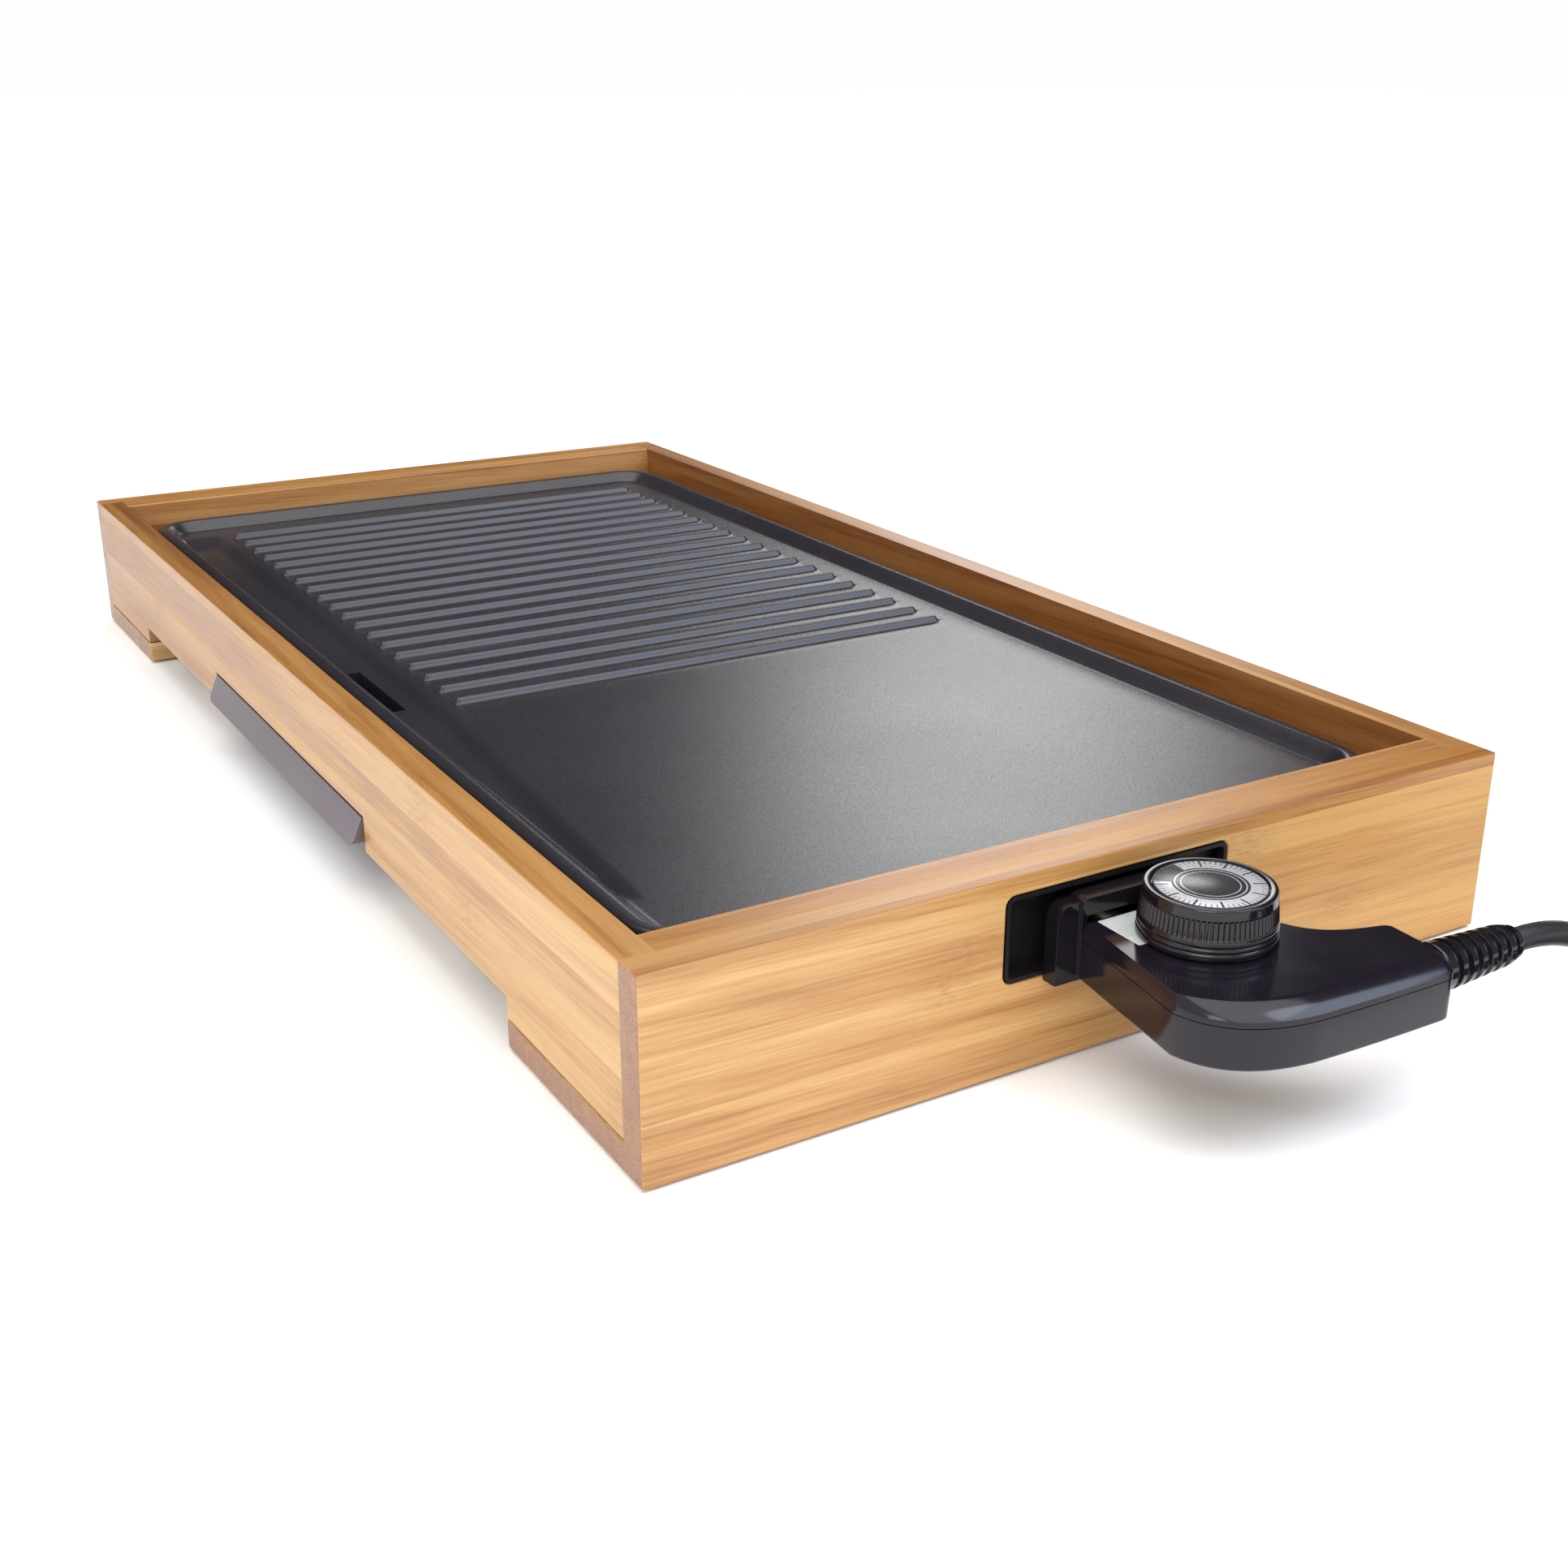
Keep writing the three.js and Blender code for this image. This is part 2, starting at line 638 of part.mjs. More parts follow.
// Outline of the body from above; the front (+X) side steps back by the bevel.
function bodyOutline(bevel) {
  const startX = hoodReach + jointGap;
  const frontX = bodyReach - bevel;
  const path = new THREE.Path();
  path.moveTo(startX, -18.5);
  path.lineTo(50, bodyNear);
  path.quadraticCurveTo(frontX - 4, bodyNear + 3.4 + 0.8 * bevel, frontX - 1.2, 3);
  path.quadraticCurveTo(frontX, 22, frontX, bodyEnd - 4.5);
  path.quadraticCurveTo(frontX, bodyEnd - 1, frontX - 4, bodyEnd - 0.6);
  path.lineTo(50.5, bodyEnd);
  path.quadraticCurveTo(48, bodyEnd, 47.2, bodyEnd - 3.6);
  path.bezierCurveTo(44.5, 38, 42, 31, 32.5, 27.5);
  path.lineTo(startX, 18.5);
  const points = path.getPoints(7);
  return points.filter((p, i) => i === 0 || p.distanceTo(points[i - 1]) > 0.05);
}

const side = bodyOutline(0);

function bodyHollow(z0, z1) {
  const inner = insetPoints(side, shellWall);
  return loft([{ points: inner, z: z0 }, { points: inner, z: z1 }]);
}

const noseOpening = block(
  [hoodReach - 1, hoodReach + 6], [-noseWidth / 2 + 2.4, noseWidth / 2 - 2.4],
  [bodyLow + 3.6, bodyHigh - 2.4],
);
const reliefHole = barX(cordRadius + 0.5, -8, 8, 0, 0).rotateZ(Math.PI / 2)
  .translate(cordX, bodyEnd, cordHeight);
const screwPosts = [[47, -14], [58, 36]];

function buildLowerShell() {
  const outer = loft([
    { points: insetPoints(side, 1), z: bodyLow }, { points: side, z: bodyLow + 1 },
    { points: side, z: seamHeight },
  ]);
  const hollow = bodyHollow(bodyLow + shellWall, seamHeight + 5);
  const posts = screwPosts.map(([x, y]) => barZ(postRadius, x, y, bodyLow + 1, bodyLow + 6));
  const seats = screwPosts.map(([x, y]) => barZ(shellScrewHead + 0.4, x, y, bodyLow - 1, bodyLow + 3));
  const bores = screwPosts.map(([x, y]) => barZ(shellScrewRadius + 0.3, x, y, bodyLow, bodyLow + 10));
  const shell = cut(join(cut(outer, hollow), ...posts), ...seats, ...bores, noseOpening, reliefHole);
  place(controller, 'controller_lower_shell', shell, glossBlack);
  screwPosts.forEach(([x, y], i) => {
    const head = bodyLow + 0.6;
    const neck = head + shellScrewHeadHeight;
    const tip = head + shellScrewLength;
    const screw = turned([
      [0, head], [shellScrewHead, head], [shellScrewHead, neck],
      [shellScrewRadius, neck], [shellScrewRadius, tip], [0, tip],
    ], 14);
    place(controller, `shell_screw_${i + 1}`, screw, steel, [x, y, 0]);
  });
}

function buildUpperShell() {
  const low = seamHeight + jointGap;
  const outer = loft([
    { points: side, z: low }, { points: side, z: low + 1 },
    { points: bodyOutline(0.3 * bodyFrontBevel), z: bodyHigh - 1.6 },
    { points: bodyOutline(0.62 * bodyFrontBevel), z: bodyHigh - 0.6 },
    { points: bodyOutline(bodyFrontBevel), z: bodyHigh },
  ]);
  const inner = insetPoints(side, shellWall);
  const innerTop = insetPoints(bodyOutline(bodyFrontBevel), shellWall);
  const hollow = loft([
    { points: inner, z: low - 3 }, { points: inner, z: low + 0.2 },
    { points: innerTop, z: bodyHigh - shellWall },
  ]);
  const posts = screwPosts.map(([x, y]) => barZ(upperPostRadius, x, y, bodyLow + 6.4, bodyHigh - 1));
  const bores = screwPosts.map(([x, y]) => barZ(shellScrewRadius + 0.1, x, y, bodyLow, bodyLow + 13));
  const shaftHole = barZ(shaftRadius + 0.4, knobX, knobY, seamHeight, bodyHigh + 5);
  const window = block(
    [windowX, windowX + windowLength], [windowY, windowY + windowWidth],
    [bodyHigh - lensThick - 0.2, bodyHigh + 5],
  );
  const lampX = windowX + lampFromWindow[0];
  const lampY = windowY + lampFromWindow[1];
  const lampHole = barZ(lampRadius + 0.8, lampX, lampY, seamHeight, bodyHigh);
  const holes = [...bores, shaftHole, window, lampHole, noseOpening, reliefHole];
  const shell = cut(join(cut(outer, hollow), ...posts), ...holes);
  place(controller, 'controller_upper_shell', shell, glossBlack);

  const lens = block(
    [windowX + jointGap, windowX + windowLength - jointGap],
    [windowY + jointGap, windowY + windowWidth - jointGap], [bodyHigh - lensThick, bodyHigh]);
  place(controller, 'indicator_lens', lens, milky);
  const lampLow = bodyLow + 3.1;
  const lamp = turned([
    [0, lampLow], [lampRadius, lampLow], [lampRadius, bodyHigh - 5.5],
    [lampRadius - 1, bodyHigh - 3.8], [0, bodyHigh - 3.4],
  ], 14);
  place(controller, 'indicator_lamp', lamp, neon, [lampX, lampY, 0]);
}

function buildPlugNose() {
  const half = collarWidth / 2;
  const collarShape = new THREE.Shape();
  collarShape.moveTo(-half, collarLow);
  collarShape.lineTo(half, collarLow);
  collarShape.lineTo(half, collarHigh - 5);
  collarShape.quadraticCurveTo(half, collarHigh, half - 5, collarHigh);
  collarShape.lineTo(-half + 5, collarHigh);
  collarShape.quadraticCurveTo(-half, collarHigh, -half, collarHigh - 5);
  const collar = acrossX(collarShape, 0.4, 0.4 + collarThick);
  const hoodShape = roundedRect(noseWidth / 2 - 0.5, (hoodHigh - bodyLow) / 2, 2.4);
  const hood = acrossX(hoodShape, 0.4, hoodReach).translate(0, 0, (hoodHigh + bodyLow) / 2);
  const nose = noseHole(0, -noseDepth, 1).translate(0, -inletY, -inletLow);
  const cavity = block(
    [-noseDepth + 2, hoodReach + 1], [-noseWidth / 2 + 2.5, noseWidth / 2 - 2.5],
    [noseLow + 2, noseHigh - 2],
  );
  const holes = terminalY.map((y) => barX(pinRadius + 0.4, -noseDepth - 3, 0, y - inletY, probeHeight));
  holes.push(barX(probeRadius + 0.3, -noseDepth - 3, 0, 0, probeHeight));
  place(controller, 'plug_nose', cut(join(collar, hood, nose), cavity, ...holes), mattBlack);

  const contactX = [-noseDepth + 2.4, hoodReach + 4];
  terminalY.forEach((y, i) => {
    const inner = pinRadius + slideFit;
    const contact = turned([
      [inner, contactX[0]], [inner + 0.9, contactX[0]], [inner + 0.9, contactX[1]], [inner, contactX[1]],
    ], 16);
    const at = [0, y - inletY, probeHeight];
    place(controller, `socket_contact_${i + 1}`, contact.rotateY(Math.PI / 2), brass, at);
  });
  const probe = turned([
    [0, -probeReach], [1.8, -probeReach], [probeRadius, -probeReach + 2], [probeRadius, 12], [0, 12],
  ], 18);
  place(controller, 'probe_rod', probe.rotateY(Math.PI / 2), steel, [0, 0, probeHeight]);
  const switchBox = block([18.5, 44], [-9, 18], [bodyLow + shellWall + jointGap, seamHeight - 2.2]);
  place(controller, 'thermostat_switch', switchBox, mattBlack);
}

function buildKnob() {
  const rim = knobTopRadius;
  const bore = shaftRadius + 0.12;
  const shaftTop = knobTop - 4;
  const knob = turned([
    [0, shaftTop], [bore, shaftTop], [bore, knobLow + 0.6], [bore + 2, knobLow + 0.6],
    [bore + 2, knobTop - 3.2], [rim - 2, knobTop - 3.2], [knobRadius - 2, knobLow],
    [knobRadius - 0.5, knobLow],
    [knobRadius, knobLow + 0.5], [rim, knobTop - 0.5], [rim - 0.5, knobTop], [rim - 2, knobTop],
    [rim - 2, knobTop - 0.8], [0, knobTop - 0.8],
  ], 48);
  place(controller, 'knob', knob, glossBlack, [knobX, knobY, 0]);
  const dial = disc(rim - 2.3, knobTop - 0.5, knobTop - 0.1, 48);
  place(controller, 'dial_plate', dial, silverPrint, [knobX, knobY, 0]);
  const shaft = disc(shaftRadius, seamHeight - 1.7, shaftTop - jointGap, 18);
  place(controller, 'knob_shaft', shaft, steel, [knobX, knobY, 0]);
}

// Strain relief, cord, coil and plug; the cord's points are chosen by hand

function buildCord() {
  const lead = new THREE.Group();
  lead.position.set(endX, inletY, 0);
  frame.add(lead);
  const reliefStart = bodyEnd + jointGap;
  const rings = [];
  for (let i = 0; i < reliefRings; i++) {
    const at = reliefCollar + i * reliefPitch;
    const radius = reliefRadius - reliefTaper * i;
    const root = radius - reliefGroove;
    rings.push([radius, at], [radius, at + reliefRingWidth]);
    rings.push([root, at + reliefRingWidth + 0.4], [root, at + reliefPitch - 0.4]);
  }
  const reliefEnd = [[reliefTip, reliefLength], [0, reliefLength]];
  const relief = turned([[0, 0], [reliefRadius - 1, 0], ...rings, ...reliefEnd], 20);
  place(controller, 'strain_relief', relief.rotateX(-Math.PI / 2), rubber, [cordX, reliefStart, cordHeight]);

  const run = [
    [62.5, 84.2, 37.5], [62.5, 90, 37.4], [62.5, 97, 36.6], [62.5, 104, 35], [62.5, 111, 32.6],
    [62.5, 118, 29.4], [62.5, 125, 25.9], [62.5, 132, 22.4], [62.5, 137, 20.1],
  ];
  const tail = [
    [155.7, 131.4, 11.7], [155.9, 128.6, 13], [156.1, 124, 15.2],
    [156.2, 119.5, 17.1], [156.3, 114.8, 18.3], [156.3, 110.3, 18.7],
  ];
  const v = (points) => new THREE.CatmullRomCurve3(points.map((p) => new THREE.Vector3(...p)));
  place(lead, 'cord', along(v(run), circle(cordRadius, 10), 12), rubber);
  place(lead, 'cord_tail', along(v(tail), circle(cordRadius, 10), 8), rubber);
  const ring = turned([
    [coilInner, coilLow], [coilOuter, coilLow], [coilOuter, coilHigh], [coilInner, coilHigh],
  ], 40);
  place(lead, 'cord_coil', ring, rubber, [coilX, coilY, 0]);
  const hollowX = [coilInner - 1, coilOuter + jointGap];
  const hollowTop = coilHigh + jointGap;
  const tieOuter = block(
    [hollowX[0] - tieThick, hollowX[1] + tieThick], [-tieWidth / 2, tieWidth / 2],
    [0, hollowTop + tieThick],
  );
  const tieInner = block(hollowX, [-tieWidth, tieWidth], [coilLow - jointGap, hollowTop]);
  const tie = cut(tieOuter, tieInner);
  place(lead, 'cord_tie', tie.rotateZ(Math.PI / 2), mattBlack, [coilX, coilY, 0]);

  const neck = cordRadius + 1.6;
  const plug = turned([
    [0, 0], [neck, 0], [neck + 1, 14], [neck + 4, 20], [plugRadius - 3, 30], [plugRadius, 36],
    [plugRadius, plugLength], [0, plugLength],
  ], 28);
  place(lead, 'plug_body', plug.rotateX(Math.PI / 2), mattBlack, [156.3, 110, plugRadius + 0.2]);
  [-1, 1].forEach((s, i) => {
    const pin = turned([
      [0, 0], [plugPinRadius, 0], [plugPinRadius, plugPinLength - 2], [1.2, plugPinLength], [0, plugPinLength],
    ], 14);
    const at = [156.3 + s * plugPinSpacing / 2, 110 - plugLength - jointGap, plugRadius + 0.2];
    place(lead, `plug_pin_${i + 1}`, pin.rotateX(Math.PI / 2), steel, at);
  });
}

buildFrame();
buildPlate();
buildSupports();
buildTray();
buildInlet();
buildLowerShell();
buildUpperShell();
buildPlugNose();
buildKnob();
buildCord();

// The origin is the centre of the footprint of everything but the cord.
frame.position.x = -bodyReach / 2;
frame.position.y = trayLean / 2;

export default group;
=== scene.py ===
from math import cos, pi, radians, sin

import bmesh
import bpy
import numpy as np
from mathutils import Matrix, Vector


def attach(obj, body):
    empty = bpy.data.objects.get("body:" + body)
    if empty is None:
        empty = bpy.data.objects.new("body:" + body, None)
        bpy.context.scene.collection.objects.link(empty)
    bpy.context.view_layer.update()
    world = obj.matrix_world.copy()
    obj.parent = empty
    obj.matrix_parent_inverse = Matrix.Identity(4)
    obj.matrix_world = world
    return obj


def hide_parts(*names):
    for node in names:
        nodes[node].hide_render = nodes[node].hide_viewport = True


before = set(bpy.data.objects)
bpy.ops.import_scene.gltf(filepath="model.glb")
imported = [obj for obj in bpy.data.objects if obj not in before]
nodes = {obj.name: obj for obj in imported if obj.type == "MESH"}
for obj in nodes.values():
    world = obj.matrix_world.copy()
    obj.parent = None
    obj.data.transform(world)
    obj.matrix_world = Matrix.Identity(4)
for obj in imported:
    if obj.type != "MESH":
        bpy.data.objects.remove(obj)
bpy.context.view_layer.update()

scene = bpy.context.scene

# Lengths below are millimetres from the middle of the frame's footprint; rowShift moves them
# to the row frame, and plugAt is where the controller's own lengths start.
rowShift = np.array([-36.4, 2.1, 0.0])
plugAt = np.array([290.0, -1.3, 28.4])
leadAt = np.array([290.0, -1.3, 0.0])


def toRow(points, start=(0, 0, 0)):
    return (np.asarray(points, float) + start + rowShift) / 1000


# camera

view = {"azimuth": 59.02, "elevation": 20.83, "roll": 0.16, "at": (642.0, -318.1, 259.5),
        "lens": 42.91, "shift": (-0.0035, -0.0095)}


def makeCamera():
    a, e, r = (radians(view[k]) for k in ("azimuth", "elevation", "roll"))
    back = Vector((sin(a) * cos(e), -cos(a) * cos(e), sin(e)))
    right = Vector((cos(a), sin(a), 0))
    up = back.cross(right)
    turnedRight = cos(r) * right + sin(r) * up
    turnedUp = cos(r) * up - sin(r) * right
    data = bpy.data.cameras.new("camera")
    data.sensor_width, data.lens = 36, view["lens"]
    data.shift_x, data.shift_y = view["shift"]
    data.clip_start, data.clip_end = 0.01, 100
    camera = bpy.data.objects.new("camera", data)
    scene.collection.objects.link(camera)
    turn = Matrix((turnedRight, turnedUp, back)).transposed().to_4x4()
    camera.matrix_world = Matrix.Translation(Vector(toRow(view["at"]))) @ turn
    scene.camera = camera


makeCamera()
print("camera placed")


def gridQuads(rows, cols, wrapRows=False, wrapCols=False):
    # quad k joins the points (r, c), (r, c+1), (r+1, c+1), (r+1, c) of a rows x cols grid
    r = np.arange(rows if wrapRows else rows - 1)[:, None]
    c = np.arange(cols if wrapCols else cols - 1)[None, :]
    r2, c2 = (r + 1) % rows, (c + 1) % cols
    return np.stack(np.broadcast_arrays(r * cols + c, r * cols + c2, r2 * cols + c2, r2 * cols + c),
                    -1).reshape(-1, 4)


# Faces over points, doubles merged, flat ends filled, normals outwards, smooth up to angle.
def meshPiece(name, points, faces, body, material, angle=35, fills=(), merge=1e-6):
    mesh = bpy.data.meshes.new(name)
    mesh.from_pydata(np.asarray(points).reshape(-1, 3).tolist(), [], [list(f) for f in faces])
    b = bmesh.new()
    b.from_mesh(mesh)
    b.verts.ensure_lookup_table()
    for loops in fills:
        edges = []
        for loop in loops:
            for i, j in zip(loop, np.roll(loop, -1)):
                pair = (b.verts[int(i)], b.verts[int(j)])
                edges.append(b.edges.get(pair) or b.edges.new(pair))
        bmesh.ops.triangle_fill(b, use_beauty=True, use_dissolve=False, edges=edges)
    bmesh.ops.remove_doubles(b, verts=b.verts, dist=merge)
    bmesh.ops.dissolve_degenerate(b, edges=b.edges, dist=1e-7)
    bmesh.ops.recalc_face_normals(b, faces=b.faces)
    return finishPiece(name, mesh, b, body, material, angle)


def finishPiece(name, mesh, b, body, material, angle):
    b.to_mesh(mesh)
    b.free()
    mesh.polygons.foreach_set("use_smooth", [True] * len(mesh.polygons))
    mesh.set_sharp_from_angle(angle=radians(angle))
    piece = bpy.data.objects.new(name, mesh)
    scene.collection.objects.link(piece)
    mesh.materials.append(material)
    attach(piece, body)
    return piece


# Point (k, t) of the profile (r, h) turned by angle t: at + r cos t u + r sin t v + h axis.
def lathe(name, profile, at, axis, body, material, count=48, ripple=None, angle=35):
    profile = np.asarray(profile, float)
    t = np.arange(count) * 2 * pi / count
    radius = np.repeat(profile[:, :1], count, 1)
    if ripple is not None:
        radius = ripple(radius, profile[:, 1:], t[None, :])
    axis = np.asarray(axis, float)
    u = np.array([0.0, 0, 1]) if abs(axis[2]) < 0.5 else np.array([1.0, 0, 0])
    v = np.cross(axis, u)
    points = (radius * np.cos(t))[..., None] * u + (radius * np.sin(t))[..., None] * v
    points = points + profile[:, 1][:, None, None] * axis + at
    closed = profile[0, 0] > 0
    quads = gridQuads(len(profile), count, closed, True)
    return meshPiece(name, toRow(points), quads, body, material, angle)


# A merged copy of a CAD node with its sharp edges rounded; edges in a plain plane stay sharp, and
# rings splits faces that go round an opening.
def softCopy(name, nodeName, body, material, width=0.8, segments=3, snap=(), plain=(),
             cutAbove=None, angle=35, rings=False):
    mesh = nodes[nodeName].data.copy()
    mesh.materials.clear()
    b = bmesh.new()
    b.from_mesh(mesh)
    bmesh.ops.remove_doubles(b, verts=b.verts, dist=2e-6)
    if width:
        bmesh.ops.dissolve_limit(b, angle_limit=radians(0.6), verts=b.verts, edges=b.edges)
    if rings:
        bmesh.ops.triangulate(b, faces=[face for face in b.faces if len(face.verts) > 4])
    for axis, old, new in snap:
        for vert in b.verts:
            if abs(vert.co[axis] - old) < 1e-4:
                vert.co[axis] = new
    if cutAbove is not None:
        whole = list(b.verts) + list(b.edges) + list(b.faces)
        bmesh.ops.bisect_plane(b, geom=whole, plane_co=(0, 0, cutAbove), plane_no=(0, 0, 1),
                               clear_outer=True)
        rim = [edge for edge in b.edges if edge.is_boundary]
        bmesh.ops.triangle_fill(b, use_beauty=True, use_dissolve=False, edges=rim)
        bmesh.ops.recalc_face_normals(b, faces=b.faces)
    weight = b.edges.layers.float.new("bevel_weight_edge")
    for edge in b.edges:
        inPlane = any(abs(edge.verts[0].co[k] - at) < 2e-5 and abs(edge.verts[1].co[k] - at) < 2e-5
                      for k, at in plain)
        turn = edge.calc_face_angle(0)
        edge[weight] = float(turn > radians(30) and not inPlane)
    piece = finishPiece(name, mesh, b, body, material, angle)
    if width:
        bevel = piece.modifiers.new("rounded edges", "BEVEL")
        bevel.limit_method, bevel.width, bevel.segments = "WEIGHT", width / 1000, segments
        bevel.use_clamp_overlap, bevel.harden_normals = True, True
    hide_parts(nodeName)
    return piece


# Builds one node material; its methods return sockets.
class Recipe:

    def __init__(self, name):
        self.material = bpy.data.materials.new(name)
        self.material.use_nodes = True
        self.tree = self.material.node_tree
        self.shader = self.tree.nodes["Principled BSDF"]
        coordinates = self.tree.nodes.new("ShaderNodeTexCoord")
        self.object, self.normal = coordinates.outputs["Object"], coordinates.outputs["Normal"]

    def put(self, node, inputs):
        for key, value in inputs.items():
            socket = node.inputs[key]
            if isinstance(value, bpy.types.NodeSocket):
                self.tree.links.new(value, socket)
            else:
                socket.default_value = value
        return node

    def add(self, kind, inputs, **settings):
        node = self.tree.nodes.new(kind)
        for key, value in settings.items():
            setattr(node, key, value)
        return self.put(node, inputs)

    def math(self, operation, a, b=0.0, c=0.0):
        return self.add("ShaderNodeMath", {0: a, 1: b, 2: c}, operation=operation).outputs[0]

    def stretch(self, scale, turn=(0, 0, 0), shift=(0, 0, 0), source=None):
        inputs = {"Vector": source or self.object, "Scale": scale, "Rotation": turn, "Location": shift}
        return self.add("ShaderNodeMapping", inputs).outputs[0]

    def noise(self, vector, scale=1.0, detail=2.0, rough=0.5, distortion=0.0):
        inputs = {"Vector": vector, "Scale": scale, "Detail": detail, "Roughness": rough,
                  "Distortion": distortion}
        return self.add("ShaderNodeTexNoise", inputs).outputs["Fac"]

    def cells(self, vector, scale):
        return self.add("ShaderNodeTexVoronoi", {"Vector": vector, "Scale": scale}).outputs["Distance"]

    def ramp(self, factor, stops):
        node = self.add("ShaderNodeValToRGB", {"Fac": factor})
        ramp = node.color_ramp
        while len(ramp.elements) < len(stops):
            ramp.elements.new(0.5)
        for element, (at, colour) in zip(ramp.elements, stops):
            element.position = at
            element.color = (*colour, 1)
        return node.outputs["Color"]

    def mix(self, factor, a, b, blend="MIX"):
        def shade(x):
            return (*x, 1) if isinstance(x, tuple) else x
        node = self.add("ShaderNodeMix", {0: factor, 6: shade(a), 7: shade(b)}, data_type="RGBA",
                        blend_type=blend)
        return node.outputs[2]

    def range(self, value, low, high, toLow, toHigh):
        inputs = {"Value": value, "From Min": low, "From Max": high, "To Min": toLow, "To Max": toHigh}
        return self.add("ShaderNodeMapRange", inputs).outputs["Result"]

    def bump(self, height, distance, strength=1.0):
        inputs = {"Height": height, "Distance": distance, "Strength": strength}
        return self.add("ShaderNodeBump", inputs).outputs["Normal"]

    def finish(self, **inputs):
        names = {"colour": "Base Color", "roughness": "Roughness", "metal": "Metallic", "normal": "Normal",
                 "coat": "Coat Weight", "coatRoughness": "Coat Roughness",
                 "specular": "Specular IOR Level", "subsurface": "Subsurface Weight"}
        self.put(self.shader, {names[k]: (*v, 1) if k == "colour" and isinstance(v, tuple) else v
                               for k, v in inputs.items()})
        return self.material


# bamboo boards

# the last three tints are painted shade: for the tops, and for the rail and inner board faces that look at
# the plate
bamboo = {"strip": 0.0092, "knuckleEvery": 0.36, "roughness": (0.3, 0.46),
          "dark": (0.38, 0.168, 0.042), "honey": (0.53, 0.272, 0.080), "pale": (0.65, 0.380, 0.138),
          "endGrain": (0.31, 0.150, 0.078), "knuckle": (0.36, 0.150, 0.042), "edgeRadius": 0.7,
          "topShade": (0.68, 0.58, 0.42), "railShade": (0.52, 0.38, 0.32), "endShade": (0.86, 0.78, 0.84)}


# Grain along X (0) or Y (1): long streaks, fine fibres, laminated strips and knuckle marks; the faces
# square to the grain show cut fibre ends; the fade paints light and shade on the wood, changing from one
# place to another.
def bambooFinish(name, grain, shift, tone=(1, 1, 1), lightFade=None):
    r = Recipe(name)
    turn = (0, 0, 0) if grain == 0 else (0, 0, pi / 2)
    along = r.stretch((1, 1, 1), turn, shift)
    parts = r.add("ShaderNodeSeparateXYZ", {0: along}).outputs
    strip = r.math("FLOOR", r.math("DIVIDE", r.math("ADD", parts[1], parts[2]), bamboo["strip"]))
    chance = r.add("ShaderNodeTexWhiteNoise", {"W": strip}, noise_dimensions="1D").outputs["Value"]
    offset = r.add("ShaderNodeCombineXYZ", {0: r.math("MULTIPLY", chance, 1.7), 1: 0.0, 2: 0.0}).outputs[0]
    moved = r.add("ShaderNodeVectorMath", {0: along, 1: offset}).outputs[0]
    lean = r.stretch((1, 1, 1), (0, radians(1.6), radians(1.2)), source=moved)
    broad = r.noise(r.stretch((2.6, 46, 46), source=lean), 1, 2, 0.5, 0.25)
    streak = r.noise(r.stretch((5, 190, 190), source=lean), 1, 3, 0.6, 0.12)
    fibre = r.noise(r.stretch((18, 1150, 1150), source=lean), 1, 2, 0.6)
    blotch = r.noise(r.stretch((3.5, 9, 9), source=along), 1, 2, 0.5)
    level = r.math("ADD", r.math("MULTIPLY", broad, 0.5), r.math("MULTIPLY", streak, 0.5))
    level = r.math("ADD", level, r.math("MULTIPLY", fibre, 0.3))
    level = r.math("ADD", level, r.math("MULTIPLY", r.math("SUBTRACT", chance, 0.5), 0.05))
    level = r.math("ADD", level, r.math("MULTIPLY", r.math("SUBTRACT", blotch, 0.5), 0.22))
    colour = r.ramp(level, [(0.50, bamboo["dark"]), (0.62, bamboo["honey"]), (0.77, bamboo["pale"])])
    # knuckles: a soft dark band in each strip, dotted with short fibre ends
    place = r.math("FRACT", r.math("DIVIDE", r.add("ShaderNodeSeparateXYZ", {0: moved}).outputs[0],
                                   bamboo["knuckleEvery"]))
    near = r.math("ABSOLUTE", r.math("SUBTRACT", place, 0.5))
    band = r.range(near, 0.004, 0.045, 0.5, 0.0)
    dots = r.range(r.cells(r.stretch((260, 1100, 1100), source=lean), 1), 0.2, 0.6, 1, 0.25)
    colour = r.mix(r.math("MULTIPLY", band, dots), colour, bamboo["knuckle"])
    facing = r.add("ShaderNodeSeparateXYZ", {0: r.normal}).outputs
    # painted shade: faces that point up are multiplied by a deeper golden tint, standing in for how the
    # light falls on the tops
    colour = r.mix(r.range(facing[2], 0.5, 0.9, 0, 1), colour,
                   r.mix(1.0, colour, bamboo["topShade"], "MULTIPLY"))
    if lightFade:
        start, stop, first, last = lightFade
        place = r.add("ShaderNodeSeparateXYZ", {0: r.object}).outputs[grain]
        colour = r.mix(1.0, colour, r.mix(r.range(place, start, stop, 0, 1), first, last), "MULTIPLY")
    if tone != (1, 1, 1):
        colour = r.mix(1.0, colour, tone, "MULTIPLY")
    square = r.range(r.math("ABSOLUTE", facing[grain]), 0.72, 0.9, 0, 1)
    tubes = r.range(r.cells(r.stretch((1500, 1500, 1500)), 1), 0.2, 0.6, 0.72, 1.12)
    layers = r.range(r.noise(r.stretch((60, 60, 260)), 1, 2), 0.3, 0.7, 0.9, 1.1)
    cutEnd = r.mix(1.0, bamboo["endGrain"], r.add("ShaderNodeCombineXYZ", {
        k: r.math("MULTIPLY", tubes, layers) for k in range(3)}).outputs[0], "MULTIPLY")
    colour = r.mix(square, colour, cutEnd)
    low, high = bamboo["roughness"]
    normal = r.bump(r.math("ADD", fibre, r.math("MULTIPLY", streak, 0.5)), 0.00006, 0.5)
    return r.finish(colour=colour, roughness=r.range(streak, 0.3, 0.7, low, high), normal=normal,
                    coat=0.18, coatRoughness=0.22)
